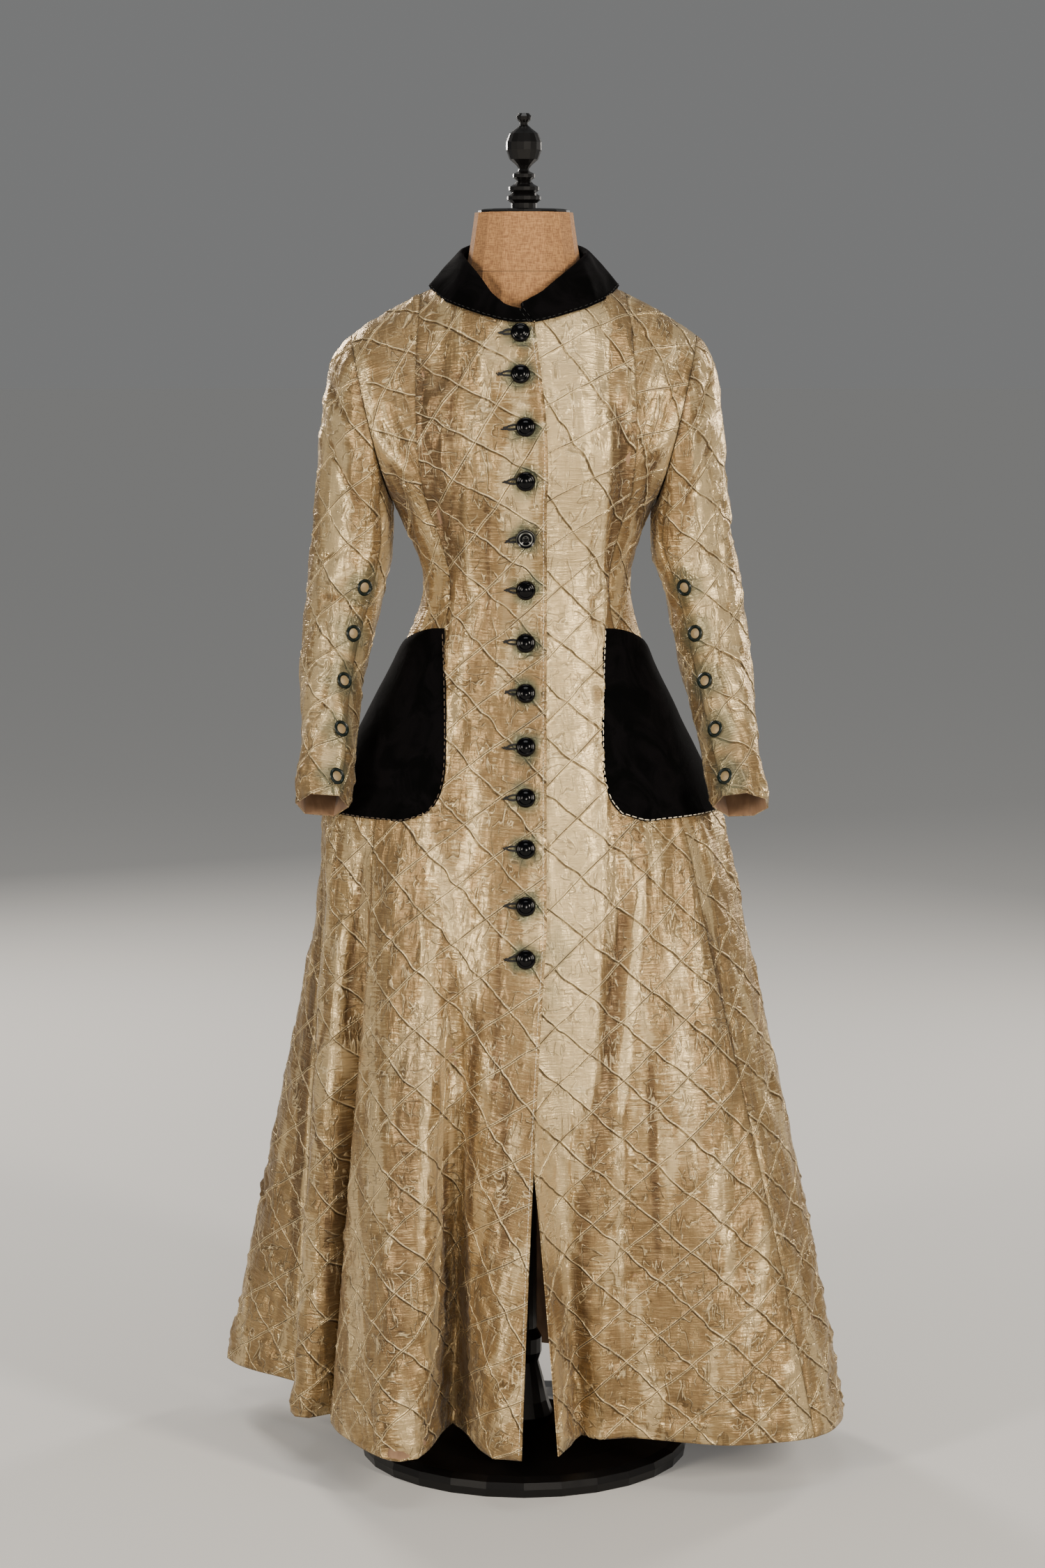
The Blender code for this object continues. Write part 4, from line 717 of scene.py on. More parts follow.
# Folds, for each panel: a line seen from the front, width, and height, or depth below zero
FOLDS = {
    "front_right": (
        (((-65, 690), (-64, 539), (-62, 377), (-59, 150)), 9.0, 4.5),
        (((-80, 660), (-84, 539), (-90, 420), (-94, 160)), 10.0, -3.75),
        (((-108, 797), (-91, 708), (-73, 620), (-68, 560)), 7.0, 3.75),
        (((-98, 640), (-108, 520), (-117, 380), (-124, 240)), 9.0, 3.5),
        (((-30, 700), (-32, 590), (-36, 480)), 6.0, -2.25), (((-20, 520), (-24, 400), (-22, 300)), 7.0, -2.5),
        (((-148, 1300), (-136, 1210), (-118, 1120), (-106, 1040)), 7.0, -5.0),
        (((-160, 1250), (-140, 1196), (-124, 1150)), 5.0, 3.75),
        (((-150, 1180), (-134, 1130), (-122, 1080)), 5.0, -3.75),
        (((-96, 1300), (-88, 1230), (-84, 1150)), 7.0, 3.25),
        (((-112, 1240), (-106, 1170), (-98, 1110)), 6.0, -3.0),
        (((-118, 1330), (-121, 1290), (-126, 1255)), 6.0, -4.25),
        (((-132, 1300), (-138, 1250), (-134, 1205)), 4.0, -6.25),
        (((-116, 1218), (-124, 1160), (-120, 1100)), 3.5, -5.0),
        (((-80, 1190), (-92, 1130), (-100, 1075)), 3.5, -3.75),
        (((-70, 1330), (-84, 1290), (-92, 1240)), 5.0, -3.25),
        (((-110, 1075), (-96, 1040), (-90, 1000)), 4.0, -3.75),
        (((-60, 1240), (-66, 1150), (-62, 1060)), 7.0, 2.5), (((-44, 1180), (-40, 1100), (-44, 1010)), 5.0, -2.0),
        (((-78, 1100), (-84, 1040), (-86, 960)), 6.0, 2.5),),
    "front_left": (
        (((128, 1300), (126, 1240), (118, 1180)), 3.5, -4.5), (((148, 1210), (138, 1160), (128, 1120)), 3.5, -5.0),
        (((60, 1330), (70, 1250), (66, 1180)), 5.0, 2.25), (((84, 1150), (80, 1080), (84, 1010)), 4.0, -2.5),
        (((95, 1320), (94, 1187), (94, 1057), (92, 900), (88, 700), (80, 520), (60, 330)), 7.0, 3.25),
        (((112, 1290), (112, 1180), (110, 1070)), 8.0, -4.25), (((150, 1330), (142, 1250), (130, 1170)), 6.0, 3.5),
        (((162, 1290), (152, 1220), (136, 1140)), 5.0, -4.0),
        (((139, 741), (125, 603), (113, 458), (104, 330)), 9.0, 4.75),
        (((116, 700), (104, 603), (94, 470)), 10.0, -3.75), (((114, 440), (112, 300), (116, 150)), 8.0, 3.0),
        (((136, 1230), (132, 1170), (124, 1110)), 6.0, 2.75), (((148, 540), (152, 400), (160, 260)), 9.0, -3.0),),
    "side_front_right": (
        (((-190, 760), (-204, 640), (-214, 520)), 6.0, -4.5), (((-230, 560), (-246, 400), (-262, 240)), 7.0, -5.0),
        (((-158, 1215), (-142, 1180), (-134, 1130)), 6.0, -3.25),
        (((-172, 1235), (-150, 1222), (-128, 1196)), 5.0, 2.75),
        (((-205, 700), (-222, 560), (-236, 400)), 10.0, 3.0),),
    "side_front_left": (
        (((170, 700), (182, 560), (192, 420)), 6.0, -4.0), (((236, 520), (254, 400), (270, 260)), 6.0, 3.75),
        (((160, 1225), (146, 1190), (136, 1140)), 6.0, -3.25),
        (((170, 1240), (150, 1232), (132, 1210)), 5.0, 2.75), (((215, 700), (240, 560), (262, 400)), 10.0, -3.0),
        (((190, 640), (206, 500), (222, 330)), 9.0, 3.25),),
    "upper_sleeve_right": (
        (((-236, 1318), (-224, 1290), (-206, 1262)), 7.0, -3.75),
        (((-238, 1290), (-220, 1262), (-200, 1236)), 6.0, 3.0),
        (((-232, 1240), (-214, 1196), (-196, 1164)), 7.0, -3.25),
        (((-205, 1120), (-222, 1106), (-240, 1100)), 6.0, -3.0),
        (((-198, 1092), (-216, 1078), (-238, 1076)), 6.0, 2.75),
        (((-200, 1060), (-220, 1052), (-242, 1056)), 5.0, -2.5),
        (((-214, 1010), (-224, 960), (-236, 900)), 7.0, 2.5),
        (((-200, 1330), (-190, 1280), (-186, 1230)), 4.0, -5.0),
        (((-222, 1210), (-206, 1180), (-188, 1160)), 4.0, -4.0),
        (((-190, 1150), (-204, 1120), (-226, 1110)), 3.5, 3.0),
        (((-236, 1030), (-226, 980), (-238, 920)), 4.0, -3.75),),
    "upper_sleeve_left": (
        (((190, 1330), (182, 1280), (178, 1230)), 4.0, -5.0), (((214, 1208), (198, 1180), (180, 1160)), 4.0, -4.0),
        (((184, 1150), (200, 1122), (222, 1112)), 3.5, 3.0), (((236, 1030), (232, 970), (246, 910)), 4.0, -3.75),
        (((224, 1316), (212, 1286), (196, 1258)), 7.0, -3.75), (((228, 1286), (210, 1262), (190, 1240)), 6.0, 3.0),
        (((222, 1236), (204, 1198), (186, 1170)), 7.0, -3.25),
        (((196, 1118), (214, 1106), (236, 1104)), 6.0, -3.0), (((192, 1090), (214, 1080), (240, 1084)), 6.0, 2.75),
        (((226, 1010), (234, 950), (250, 890)), 7.0, 2.5),),
}
# Each fold has a painted band too, painted shade in a trough and a painted highlight on a ridge: their strengths,
# and the band's share of the fold's width
TROUGH_PAINTED_SHADE, RIDGE_PAINTED_HIGHLIGHT, PAINTED_BAND_WIDTH = -1.0, 0.5, 0.65
# Painted highlight bands, and painted shade bands below zero: a line seen from the front, half width, and strength
PAINTED_LIGHT_BANDS = {
    "front_left": (
        (((104, 1300), (112, 1190), (112, 1080)), 16.0, -0.7),
        (((112, 720), (106, 600), (94, 480), (84, 380)), 18.0, -0.6),
        (((139, 741), (125, 603), (111, 458)), 9.0, 0.95), (((130, 1340), (124, 1290), (118, 1250)), 10.0, 0.5),
        (((168, 700), (188, 520), (200, 380)), 18.0, 0.45), (((70, 480), (64, 330), (66, 150)), 15.0, -0.7),),
    "front_right": (
        (((-85, 600), (-91, 458), (-100, 330), (-108, 136)), 12.0, 0.95),
        (((-62, 640), (-60, 450), (-62, 290), (-62, 120)), 11.0, -0.9),
        (((-126, 600), (-138, 420), (-150, 240), (-156, 110)), 18.0, -0.6),
        (((-30, 640), (-28, 480), (-26, 320), (-26, 120)), 20.0, -0.4),
        (((-104, 1350), (-104, 1200), (-96, 1050)), 32.0, -0.8),
        (((-58, 1330), (-56, 1200), (-54, 1060)), 16.0, -0.35),
        (((-150, 1260), (-136, 1180), (-122, 1090)), 12.0, -0.8),
        (((-24, 1240), (-22, 1100), (-22, 980)), 8.0, 0.35), (((-100, 780), (-86, 720), (-78, 650)), 10.0, 0.45),),
    "side_front_right": (
        (((-170, 640), (-196, 420), (-222, 200)), 24.0, -0.5),
        (((-150, 1220), (-140, 1150), (-130, 1060)), 22.0, -0.7),
        (((-228, 600), (-240, 500), (-238, 380), (-236, 200)), 5.0, -0.9),
        (((-180, 760), (-196, 640), (-206, 540)), 12.0, -0.3),),
    "upper_sleeve_right": (
        (((-212, 1340), (-222, 1100), (-246, 860)), 36.0, 0.5),
        (((-214, 1236), (-220, 1160), (-226, 1070)), 17.0, 0.75),),
    "upper_sleeve_left": (
        (((208, 1340), (220, 1100), (250, 860)), 36.0, 0.5), (((208, 1236), (214, 1150), (226, 1050)), 15.0, 0.6),),
    "side_front_left": (
        (((155, 1230), (142, 1150), (134, 1060)), 18.0, -0.6), (((196, 760), (216, 640), (236, 520)), 10.0, 0.4),),
    "side_back_right": (
        (((-300, 560), (-320, 400), (-350, 180)), 58.0, -0.6),
        (((-234, 690), (-246, 643), (-260, 547), (-271, 443), (-275, 377), (-285, 180)), 14.0, -1.0),
        (((-235, 640), (-240, 560), (-245, 443), (-247, 377), (-250, 120)), 9.0, 1.0),),
}
# Marks: a place seen from the front, radius, tint channel, strength, and how much flatter than wide
MARKS = {
    "front_right": (
        ((-123, 1326), 9.0, 1, 0.75, 0.7), ((-126, 1305), 7.0, 1, 0.55, 0.5), ((-99, 1105), 7.0, 1, 0.7, 0.6),
        ((-91, 1092), 9.0, 1, 0.3, 0.5), ((-91, 668), 11.0, 1, 0.55, 1.8), ((-112, 677), 8.0, 1, 0.5, 2.0),
        ((-80, 662), 6.0, 1, 0.7, 2.0),),
    "front_left": (
        ((127, 753), 5.0, 1, 0.9, 0.8), ((122, 740), 5.0, 1, 0.5, 0.8), ((39, 655), 22.0, 0, 0.4, 0.6),
        ((33, 603), 12.0, 0, 0.35, 0.5), ((22, 1040), 9.0, 0, 0.35, 0.3),),
}
# The wearer's left front is paler in a strip beside the lap: heights, and how far the strip reaches
STRIP_EDGE = ((250, 48), (309, 55), (379, 68), (539, 86), (700, 90), (862, 93), (1057, 94), (1187, 97),
              (1299, 93), (1379, 95))
STRIP_LOW, STRIP_TONE = (230, 330), 0.40
# Small creases towards the low edge: how high they reach, their count, length, and least and most depth
SLEEVE_WRINKLES = ((560, 90, 34, (1.0, 2.4)),)
BODY_WRINKLES = ((300, 120, 46, (1.5, 3.2)), (1350, 120, 34, (0.9, 2.0)))
# Places and heights across a heavy line with its cord, and across a fine one with its sunk stitches
CORD_SHAPE = ((-5.0, -1.9, -0.8, 0.0, 0.8, 1.9), (0.0, -0.7, -0.2, 0.85, 0.5, 0.0))
FINE_SHAPE = ((0.0, 0.8, 1.9, 5.0), (-0.3, 0.55, -0.4, 0.0))
# How far tarnish reaches round a button and round a ring
HALO_REACH, RING_HALO_REACH = 25.0, 33.0
# How near a velvet piece lies, how far in from its edge the silk is flat, and the limits of the relief
COVER_REACH, COVER_EDGE = 7.5, 4.0
HIGHEST, LOWEST, LEAST_THICK = 6.0, -7.0, 1.2


def quilt(shell):
    """Cords along the lattice, gathered cloth beside them, and crushed cloth between."""
    seed = shell.seed
    a, b = shell.lattice(shell.outer.flat)
    heavy = (a - np.round(a)) * LINE_PITCH
    fine = np.abs(b - np.round(b)) * LINE_PITCH
    at, away = shell.outer.flat, shell.outer.away
    free = fade(-away, -9.0, -1.0)
    full = 0.75 + 0.3 * noise(at / 19, seed + 11)
    cord = np.interp(heavy, *CORD_SHAPE)
    twin = np.interp(fine, *FINE_SHAPE)
    along = np.column_stack([b * LINE_PITCH / 6.5, heavy / 20])
    gather = 1.3 * noise(along, seed + 13) * np.exp(-np.abs(heavy) / 8)
    puff = 0.9 * np.sqrt(np.clip(np.abs(np.sin(math.pi * a) * np.sin(math.pi * b)), 0, 1))
    busy = (0.45 + 0.55 * fade(noise(at / 85, seed + 17), -0.35, 0.45)) * fade(shell.tint[:, 2], 0.6, 1.3)
    bent = at + 9 * np.column_stack([noise(at / 40, seed + 19), noise(at / 40, seed + 23)])
    large = 3.2 * np.abs(noise(bent / (26, 70), seed + 29)) - 2.6 * np.abs(noise(bent / (36, 46), seed + 31))
    small = 1.3 * np.abs(noise(bent / (11, 26), seed + 37)) - 1.1 * np.abs(noise(bent / (17, 15), seed + 41))
    shell.outer.height += (cord + twin) * full * fade(-away, -4.0, 0.0) + (gather + puff) * free
    shell.outer.height += (large + small) * busy * free
    for sheet in (shell.outer, shell.inner):
        sheet.raise_by(2.8 * noise(sheet.flat / (44, 330), seed + 43) * fade(-sheet.away, -16.0, -1.0))
    shell.outer.height -= 0.5 * fade(away, 0.0, 3.5)


def covered(shell, covers):
    """How far each outer point is free of the pieces that lie on it: 0 under them, 1 away from them."""
    free = np.ones(len(shell.outer.flat))
    for cover in covers:
        tree = KDTree(len(cover.outer.flat))
        for k, place in enumerate(cover.outer.places):
            tree.insert(place, k)
        tree.balance()
        for k, place in enumerate(shell.outer.places):
            _, number, away = tree.find(place)
            if away < COVER_REACH:
                free[k] = min(free[k], max(0.0, 1 - cover.outer.away[number] / COVER_EDGE))
    return free


def wrinkle_low(shell, chooser, top, count, size, depths):
    """Small slanting creases near a low edge, more of them towards it, of uneven length and depth."""
    low = shell.outline[:, 1].min()
    left, right = shell.outline[:, 0].min(), shell.outline[:, 0].max()
    for _ in range(count):
        height = low + top * chooser.random() ** 1.6 + 8
        start = np.array([chooser.uniform(left, right), height])
        slant = chooser.choice((-1, 1)) * chooser.uniform(0.15, 0.9)
        long = size * chooser.uniform(0.5, 1.3)
        middle = start + (long / 2, long * slant / 2 + chooser.uniform(-4, 4))
        end = start + (long, long * slant)
        width = chooser.uniform(2.2, 4.6)
        shell.crease([start, middle, end], width, chooser.choice((-1, 1)) * chooser.uniform(*depths))


# The velvet pieces lie on the silk, so their shells come first, and the silk is pressed flat under them
shells = {"collar": Shell("collar", step=4.0, smoothing=6.5, close=True)}
# The collar's front end is drawn sideways, most at its low edge, so that its two leaves meet in a V
COLLAR_END, COLLAR_REACH, LOW_DRAW, END_DRAW = 12.0, 70.0, 13.0, 6.0
for sheet in (shells["collar"].outer, shells["collar"].inner):
    x, z = sheet.places[:, 0], sheet.places[:, 2]
    front = fade(np.abs(x - COLLAR_END), 0.0, COLLAR_REACH) * fade(sheet.places[:, 1], -20.0, 0.0)
    low, end = fade(-z, -1396.0, -1374.0), fade(-x, -COLLAR_END - 3, -COLLAR_END + 1)
    sheet.places[:, 0] -= front * (LOW_DRAW * low + END_DRAW * end)
for node in ("pocket_right", "pocket_left"):
    shells[node] = Shell(node, smoothing=20.0)
covers = list(shells.values())
buttons = {name: node for name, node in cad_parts.items() if name.startswith("front_button")}
rings = {name: node for name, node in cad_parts.items() if name.startswith("cuff_ring")}


def middle_of(node):
    """The middle of a solid's points, in millimetres."""
    return np.mean([vert.co for vert in node.data.vertices], axis=0) / MM


for node, crossing, seed, lean in PANELS:
    panel = shells[node] = Shell(node, crossing, seed, lean)
    chooser = random.Random(seed)
    for line, width, strength in PAINTED_LIGHT_BANDS.get(node, ()):
        panel.tone(panel.flat_line(line), width, strength)
    if node == "front_left":
        x, z = panel.outer.places[:, 0], panel.outer.places[:, 2]
        edge = np.interp(z, *zip(*STRIP_EDGE))
        ragged = 9 * noise(panel.outer.flat / (13, 34), 3) + 4 * noise(panel.outer.flat / (6, 15), 4)
        strip = fade(x + ragged, edge - 8, edge + 7) * fade(-z, -STRIP_LOW[1], -STRIP_LOW[0])
        panel.tint[:, 2] += STRIP_TONE * strip
    quilt(panel)
    for line, width, depth in FOLDS.get(node, ()):
        line = panel.flat_line(line)
        panel.crease(line, width, depth)
        panel.tone(line, PAINTED_BAND_WIDTH * width, TROUGH_PAINTED_SHADE if depth < 0 else RIDGE_PAINTED_HIGHLIGHT)
    for row in SLEEVE_WRINKLES if "sleeve" in node else BODY_WRINKLES:
        wrinkle_low(panel, chooser, *row)
    for (x, z), radius, channel, strength, squeeze in MARKS.get(node, ()):
        panel.spot(x, z, radius, channel, strength, squeeze)
    for group, reach, amount in ((buttons, HALO_REACH, 1.0), (rings, RING_HALO_REACH, 0.7)):
        for fastener in group.values():
            middle = middle_of(fastener)
            away = np.linalg.norm(panel.outer.places - middle, axis=1)
            ragged = reach * (1 + 0.25 * noise(panel.outer.flat / 9, seed + 7))
            halo = amount * fade(away, 0.45 * ragged, ragged)
            panel.tint[:, 0] = np.maximum(panel.tint[:, 0], halo)
    panel.outer.height = np.clip(panel.outer.height, LOWEST, HIGHEST)
    free = covered(panel, covers)
    raised = np.where(panel.outer.height > 0, panel.outer.height * free, panel.outer.height)
    panel.outer.height = np.maximum(raised - (1 - free), panel.outer.underside() + LEAST_THICK)
    panel.object(node + "_silk", (SILK, REVERSE), "silk", "hung", ["dress_form"])

# Collar and pockets
# A turned-down collar and two shaped patch pockets of black cotton velvet, each cut in one piece and laid on the
# coat with its raw edges turned under and stitched, so that the edge is rolled and the face a little uneven.
def velvet():
    """Black cotton velvet, woven with a cut pile: nearly no gloss, a nap brushed unevenly in soft patches.

    Its pile is drawn 0.6 mm apart, coarser than the real one.
    """
    material, add, shader = new_material(
        "cut-pile black velvet", "#040304", 0.95, Sheen_Weight=0.06, Sheen_Roughness=0.3,
        Specular_IOR_Level=0.05, Sheen_Tint=linear("#6A646C"))
    cloth = add("UVMap", uv_map="cloth")
    nap, pile = crinkle(add, cloth, (26, 20), 4.0, 0.6, 0.8), crinkle(add, cloth, (1600, 1600), 2.0)
    brushed = add("MapRange", nap, 0.35, 0.65, **SOFT)
    fill(shader, Base_Color=add("Mix", brushed, linear("#010101"), linear("#070607"), data_type="RGBA"),
         Normal=add("Bump", Strength=0.6, Distance=1.0 * MM, Height=weighed(add, (pile, 0.3), (nap, 1.5))))
    return material


VELVET = velvet()
for node in ("collar", "pocket_right", "pocket_left"):
    piece = shells[node]
    sheet = piece.outer
    sheet.height += 0.5 * noise(sheet.flat / 34, 3) * fade(-sheet.away, -10.0, -1.0)
    sheet.height += 0.9 * fade(-sheet.away, -6.0, 0.0) - 0.9
    piece.object(node + "_velvet", (VELVET,), "velvet", "folded" if node == "collar" else "laid", ["dress_form"])

# Buttons and ring buttons
# Thirteen domed front buttons of a hard black stuff such as horn, turned, polished and sewn on, the fifth with
# a flat rim and worn silver lines. Five dark rings bound round a scrap of silk are sewn down the front of each
# sleeve.
TURN_SIDES = 40
# Profiles: share of the radius, share of the height from base to top, and material number of the band above
DOME = ((0.0, 0.0, 0), (0.86, 0.0, 0), (0.97, 0.16, 0), (1.0, 0.32, 0), (0.975, 0.50, 0), (0.90, 0.68, 0),
        (0.80, 0.78, 0), (0.71, 0.80, 0), (0.66, 0.72, 0), (0.60, 0.74, 0), (0.50, 0.86, 0), (0.36, 0.95, 0),
        (0.18, 1.0, 0), (0.0, 1.0, 0))
EYE = ((0.0, 0.0, 0), (0.88, 0.0, 0), (0.98, 0.16, 0), (1.0, 0.36, 0), (0.97, 0.55, 1), (0.91, 0.62, 0),
       (0.84, 0.56, 0), (0.72, 0.50, 1), (0.66, 0.55, 1), (0.60, 0.50, 0), (0.42, 0.34, 0), (0.34, 0.36, 1),
       (0.26, 0.52, 0), (0.14, 0.60, 0), (0.0, 0.62, 0))
LOOP = ((0.0, 0.0, 1), (0.62, 0.0, 0), (0.80, 0.0, 0), (0.95, 0.2, 0), (1.0, 0.5, 0), (0.94, 0.84, 0),
        (0.82, 1.0, 0), (0.69, 0.88, 0), (0.61, 0.6, 0), (0.58, 0.42, 1), (0.40, 0.52, 1), (0.2, 0.60, 1),
        (0.0, 0.62, 1))


def silk_scrap():
    """Plain-woven silk drawn over the ring's middle: a soft sheen, finely puckered."""
    material, add, shader = new_material("plain-woven silk scrap", "#8A7654", 0.45, Metallic=0.2)
    pucker = add("TexNoise", add("TexCoord", out="Object"), Scale=500.0, Detail=3.0)
    fill(shader, Normal=add("Bump", Strength=0.5, Distance=0.6 * MM, Height=pucker))
    return material


def outward_at(place):
    """The outward normal of the cloth nearest a place."""
    best = None
    for shell in shells.values():
        away = np.linalg.norm(shell.outer.places - place, axis=1)
        k = int(np.argmin(away))
        if best is None or away[k] < best[0]:
            best = (away[k], shell.outer.normals[k])
    return best[1]


def finished(name, mesh, materials, slot):
    """A mesh as a piece of the object, smooth but for its sharp edges."""
    for material in materials:
        mesh.materials.append(material)
    mesh.shade_smooth()
    mesh.set_sharp_from_angle(angle=math.radians(40))
    piece = bpy.data.objects.new(name, mesh)
    bpy.context.scene.collection.objects.link(piece)
    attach(piece, "root")
    return piece


def turned(name, node, profile, materials, slot):
    """A profile spun about its solid's own axis, at the solid's place and size."""
    points = np.array([vert.co for vert in node.data.vertices]) / MM
    middle = points.mean(axis=0)
    axis = np.linalg.svd(points - middle)[2][2]
    axis *= np.sign(axis @ outward_at(middle))
    heights = (points - middle) @ axis
    radius = np.linalg.norm(points - middle - heights[:, None] * axis, axis=1).max()
    low, high = heights.min(), heights.max()
    side = np.cross(axis, (0, 0, 1.0))
    side /= np.linalg.norm(side)
    work = bmesh.new()
    line = [work.verts.new((radius * share, 0, low + (high - low) * rise)) for share, rise, _ in profile]
    edges = [work.edges.new(pair) for pair in zip(line, line[1:])]
    bmesh.ops.spin(work, geom=line + edges, axis=(0, 0, 1), cent=(0, 0, 0), angle=2 * math.pi, steps=TURN_SIDES,
                   use_merge=True)
    bmesh.ops.remove_doubles(work, verts=work.verts, dist=0.001)
    bmesh.ops.recalc_face_normals(work, faces=work.faces)
    bands = [((a[0] + b[0]) / 2, (a[1] + b[1]) / 2, a[2]) for a, b in zip(profile, profile[1:])]
    for face in work.faces:
        x, y, z = face.calc_center_median()
        place = (math.hypot(x, y) / radius, (z - low) / (high - low))
        face.material_index = min(bands, key=lambda band: math.dist(band[:2], place))[2]
    turn = Matrix([side.tolist(), np.cross(axis, side).tolist(), axis.tolist()]).transposed().to_4x4()
    place = Matrix.Translation(Vector(middle * MM)) @ turn @ Matrix.Scale(MM, 4)
    bmesh.ops.transform(work, matrix=place, verts=work.verts)
    mesh = bpy.data.meshes.new(name)
    work.to_mesh(mesh)
    work.free()
    piece = finished(name, mesh, materials, slot)
    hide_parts(node.name)
    return middle, radius


BUTTON = polished("polished black button", "#010102", 0.16, 0.04)
RIM = polished("worn silver rim", "#6A6B67", 0.4, 0.1, metallic=0.8)
RING = polished("polished grey-green ring", "#121A17", 0.24, 0.08)
SCRAP = silk_scrap()
spots = [turned(name + "_turned", node, EYE if name.endswith("_05") else DOME, (BUTTON, RIM), "button")
         for name, node in buttons.items()]
for name, node in rings.items():
    turned(name + "_turned", node, LOOP, (RING, SCRAP), "ring")

# Thread
# Twisted sewing thread. Black loops for the front buttons are worked at the lap with a knot and a loose tail,
# and running stitches hold the collar, the pockets and the lap's edge.
def thread(name, colour):
    """Twisted thread: dull, with fine strands that are drawn 0.4 mm apart, coarser than real ones."""
    material, add, shader = new_material(name, colour, 0.8, Sheen_Weight=0.05)
    strands = add("TexNoise", add("TexCoord", out="Object"), Scale=2600.0, Detail=1.0)
    fill(shader, Normal=add("Bump", Strength=0.6, Distance=0.2 * MM, Height=strands))
    return material


def tube(path, radius, sides=6):
    """Points and faces of a closed tube along a path."""
    path = np.array(path)
    points, faces = [], []
    for k, place in enumerate(path):
        way = path[min(k + 1, len(path) - 1)] - path[max(k - 1, 0)]
        way /= np.linalg.norm(way)
        side = np.cross(way, (0.1, 0.9, 0.2))
        side /= np.linalg.norm(side)
        other = np.cross(way, side)
        thick = radius * (0.7 if k in (0, len(path) - 1) else 1.0)
        for turn in np.arange(sides) * 2 * math.pi / sides:
            points.append(place + thick * (math.cos(turn) * side + math.sin(turn) * other))
        if k:
            first = (k - 1) * sides
            faces += [(first + s, first + (s + 1) % sides, first + sides + (s + 1) % sides, first + sides + s)
                      for s in range(sides)]
    faces.append(tuple(range(sides - 1, -1, -1)))
    faces.append(tuple(len(points) - sides + s for s in range(sides)))
    return points, faces


class Threads:
    """Many short tubes gathered in one mesh."""

    def __init__(self):
        self.points, self.faces = [], []

    def add(self, path, radius, sides=6):
        points, faces = tube(path, radius, sides)
        self.faces += [tuple(k + len(self.points) for k in face) for face in faces]
        self.points += points

    def object(self, name, material, slot):
        mesh = bpy.data.meshes.new(name)
        mesh.from_pydata((np.array(self.points) * MM).tolist(), [], self.faces)
        finished(name, mesh, (material,), slot)


loops = Threads()
chooser = random.Random(41)
lap = shells["front_right"]
for middle, radius in spots:
    x, z = middle[0], middle[2]
    reach = chooser.uniform(9.5, 12.5)
    droop = chooser.uniform(-2.5, 1.0)
    knot = (x - radius - reach, z + droop)
    for side in (-1, 1):
        wide = chooser.uniform(2.3, 3.0)
        row = [(x - radius + 4, z + side * wide * 0.9), (x - radius - 0.25 * reach, z + side * wide + droop * 0.2),
               (x - radius - 0.65 * reach, z + side * wide * 0.75 + droop * 0.6), knot]
        loops.add([lap.on_cloth(px, pz, 1.2) for px, pz in row], chooser.uniform(1.2, 1.45))
    for turn in range(3):
        bend = chooser.uniform(-2.0, 2.0)
        row = [(knot[0] + 1.6, knot[1] + bend), (knot[0], knot[1] + bend * 0.3), (knot[0] - 1.8, knot[1] - bend)]
        loops.add([lap.on_cloth(px, pz, 1.6 + 0.4 * turn) for px, pz in row], 1.5)
    tail = chooser.uniform(2.5, 5.0)
    row = [knot, (knot[0] - tail * 0.5, knot[1] + chooser.uniform(-1.4, 0.6)),
           (knot[0] - tail, knot[1] + chooser.uniform(-2.4, 2.0))]
    loops.add([lap.on_cloth(px, pz, 1.0) for px, pz in row], 1.0)


def edge_rows(shell, inset):
    """Places just inside the shell's edge, in order round it, with their normals."""
    sheet = shell.outer
    ring = np.array(sheet.ring)
    places, normals = sheet.places[ring], sheet.normals[ring]
    way = np.roll(places, -1, axis=0) - np.roll(places, 1, axis=0)
    inward = np.cross(normals, way)
    inward /= np.linalg.norm(inward, axis=1, keepdims=True)
    return places + inward * inset, normals


def running_stitch(threads, places, normals, pitch, stitch, radius, lift):
    """Short stitches one after another along a row of places."""
    steps = np.linalg.norm(np.diff(places, axis=0), axis=1)
    run = np.concatenate([[0], np.cumsum(steps)])
    at = chooser.uniform(0, pitch)
    while at + stitch < run[-1]:
        long = stitch * chooser.uniform(0.8, 1.15)
        row = []
        for share in (0.0, 0.2, 0.5, 0.8, 1.0):
            place = np.array([np.interp(at + long * share, run, places[:, k]) for k in range(3)])
            normal = np.array([np.interp(at + long * share, run, normals[:, k]) for k in range(3)])
            row.append(place + normal * (lift * (0.2 if share in (0.0, 1.0) else 1.0)))
        threads.add(row, radius, 5)
        at += pitch * chooser.uniform(0.9, 1.12)


def part_of_ring(shell, places, normals, start, end):
    """The stretch of an edge row from near one front-view place to near another, the shorter way."""
    first, last = (int(np.argmin(np.hypot(places[:, 0] - x, places[:, 2] - z))) for x, z in (start, end))
    count = len(places)
    ahead = [(first + k) % count for k in range((last - first) % count + 1)]
    back = [(first - k) % count for k in range((first - last) % count + 1)]
    chosen = ahead if len(ahead) < len(back) else back
    return places[chosen], normals[chosen]


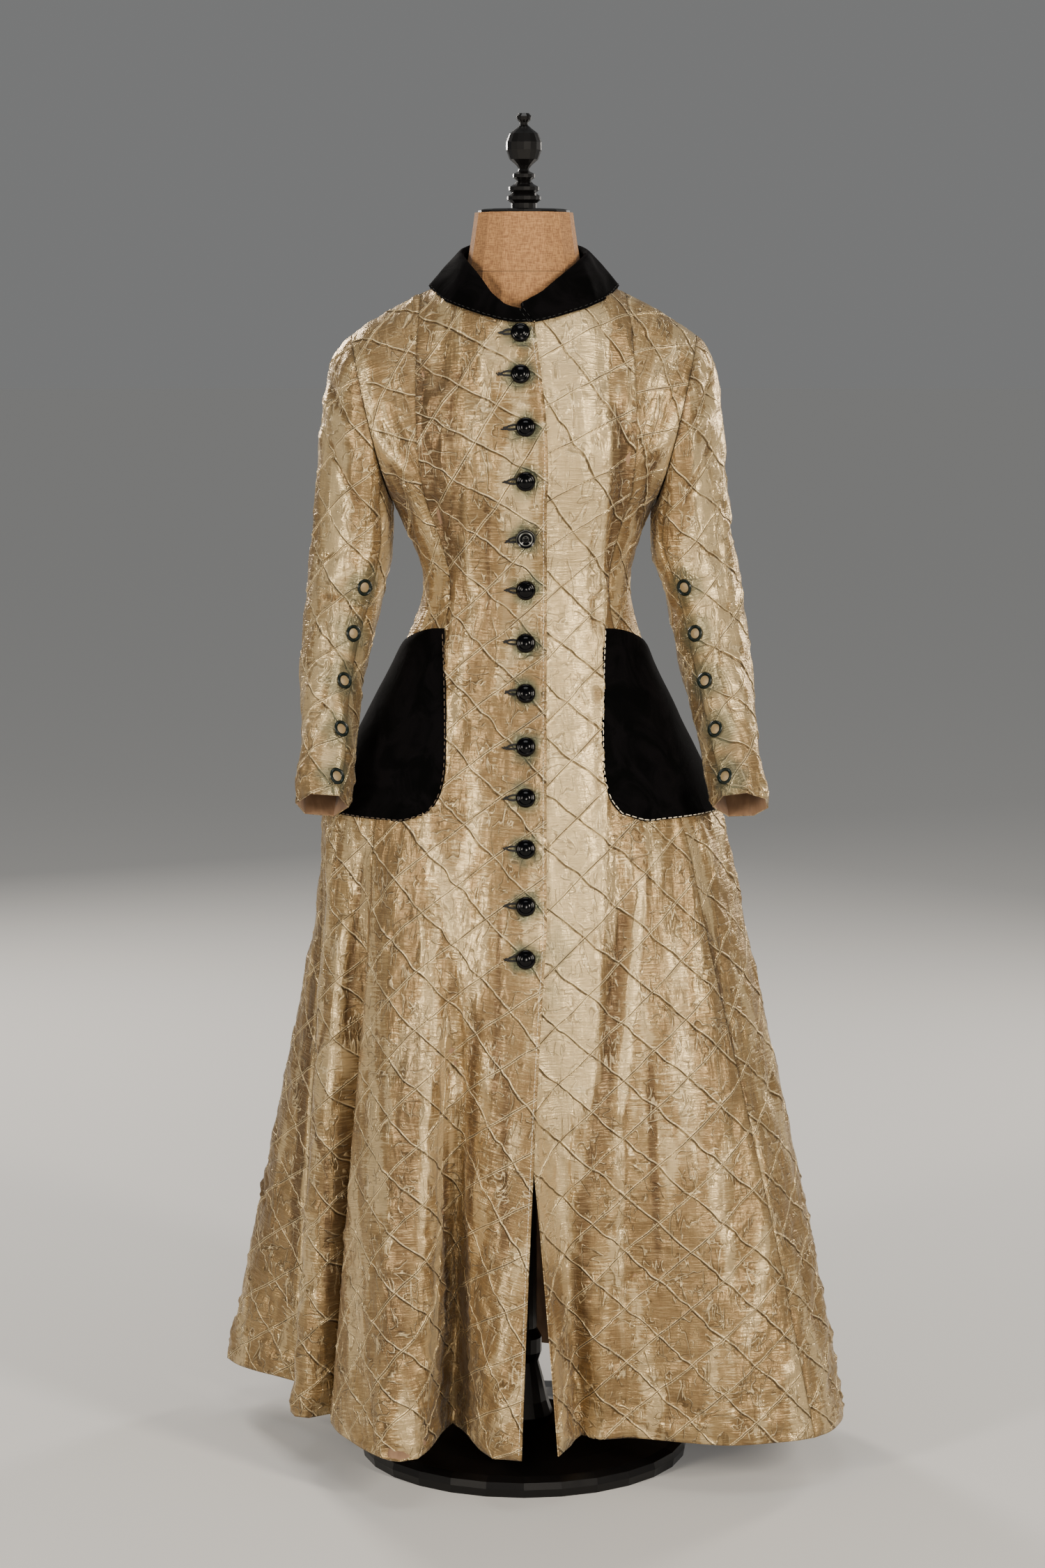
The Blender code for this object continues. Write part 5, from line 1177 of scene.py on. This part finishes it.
pale, dark, lapped = Threads(), Threads(), Threads()
for node, threads in (("pocket_left", pale), ("pocket_right", dark)):
    places, normals = edge_rows(shells[node], 1.2)
    side = 1 if node == "pocket_left" else -1
    for start, end in (((side * 96, 1020), (side * 120, 840)), ((side * 118, 840), (side * 212, 818))):
        row = part_of_ring(shells[node], places, normals, start, end)
        running_stitch(threads, *row, 8.0, 5.2, 0.55, 0.9)
places, normals = edge_rows(shells["collar"], 2.5)
running_stitch(loops, places, normals, 7.0, 4.0, 0.4, 0.5)
places, normals = edge_rows(lap, 4.0)
row = part_of_ring(lap, places, normals, (14, 1375), (2, 60))
running_stitch(lapped, *row, 4.6, 3.2, 0.38, 0.6)
CREAM_THREAD = thread("twisted cream thread", "#D9CDB4")
loops.object("black_thread", thread("twisted black thread", "#040404"), "velvet")
pale.object("pocket_stitches_left", CREAM_THREAD, "silk")
dark.object("velvet_stitches", thread("twisted brown thread", "#4E4030"), "velvet")
lapped.object("lap_stitches", CREAM_THREAD, "silk")

# Studio
# Not part of the object: a pale floor that glows a little, so that it meets the room's grey far off, soft area
# lights in front of and behind the coat, and the camera at the photograph's height and angle.
FLOOR_REACH_METRES, FLOOR_GLOW = 60.0, 0.103
CAMERA_AT, CAMERA_DOWN, CAMERA_LENS = (-1.7 * MM, -4.2, 1.39), math.radians(7.67), 80.64
# Name, place and aim in metres, size, watts, and colour
LIGHTS = (
    ("key", (2.4, -2.6, 1.9), (0, 0, 0.65), (0.4, 1.2), 128, "#FFF5E6"),
    ("side", (-2.4, -2.5, 1.5), (0, 0, 0.55), (0.4, 1.2), 98, "#FFF5E6"),
    ("front", (0.4, -4.3, 1.3), (0, 0, 0.6), (0.5, 0.9), 48, "#FFF5E8"),
    ("top", (0.0, -0.4, 3.4), (0, 0, 1.0), (1.4, 1.0), 20, "#FFFFFF"),
    ("rear", (-1.6, 3.2, 2.3), (0, 0, 0.8), (0.6, 1.4), 110, "#FFF8F0"),
    ("rear_side", (2.2, 2.6, 1.8), (0, 0, 0.7), (0.5, 1.3), 70, "#FFF8F0"),
)


def painted_floor():
    """A matt painted floor: even, with a faint unevenness."""
    material, add, shader = new_material("painted pale floor", "#B9B7B3", 0.8, Emission_Strength=FLOOR_GLOW,
                                         Emission_Color=linear("#EDEEEE"))
    uneven = add("TexNoise", add("TexCoord", out="Object"), Scale=30.0, Detail=3.0)
    fill(shader, Normal=add("Bump", Strength=0.1, Distance=1.0 * MM, Height=uneven))
    return material


def shown(name, data):
    """An object in the scene for a mesh, a light or a camera."""
    holder = bpy.data.objects.new(name, data)
    bpy.context.scene.collection.objects.link(holder)
    return holder


work = bmesh.new()
bmesh.ops.create_circle(work, cap_ends=True, radius=FLOOR_REACH_METRES, segments=64)
mesh = bpy.data.meshes.new("floor")
work.to_mesh(mesh)
work.free()
mesh.materials.append(painted_floor())
ground = shown("floor", mesh)
for name, place, aim, size, watts, colour in LIGHTS:
    lamp = bpy.data.lights.new(name, "AREA")
    lamp.shape, lamp.energy, lamp.color = "RECTANGLE", watts, linear(colour)[:3]
    lamp.size, lamp.size_y = size
    holder = shown(name, lamp)
    holder.location = place
    holder.rotation_euler = (Vector(aim) - Vector(place)).to_track_quat("-Z", "Y").to_euler()
world = bpy.data.worlds.new("studio")
world.use_nodes = True
fill(world.node_tree.nodes["Background"], Color=linear("#D5D6D6"), Strength=0.28)
bpy.context.scene.world = world
eye = bpy.data.cameras.new("camera")
eye.lens, eye.sensor_width = CAMERA_LENS, 36.0
holder = shown("camera", eye)
holder.location = CAMERA_AT
holder.rotation_euler = (math.pi / 2 - CAMERA_DOWN, 0, 0)
bpy.context.scene.camera = holder
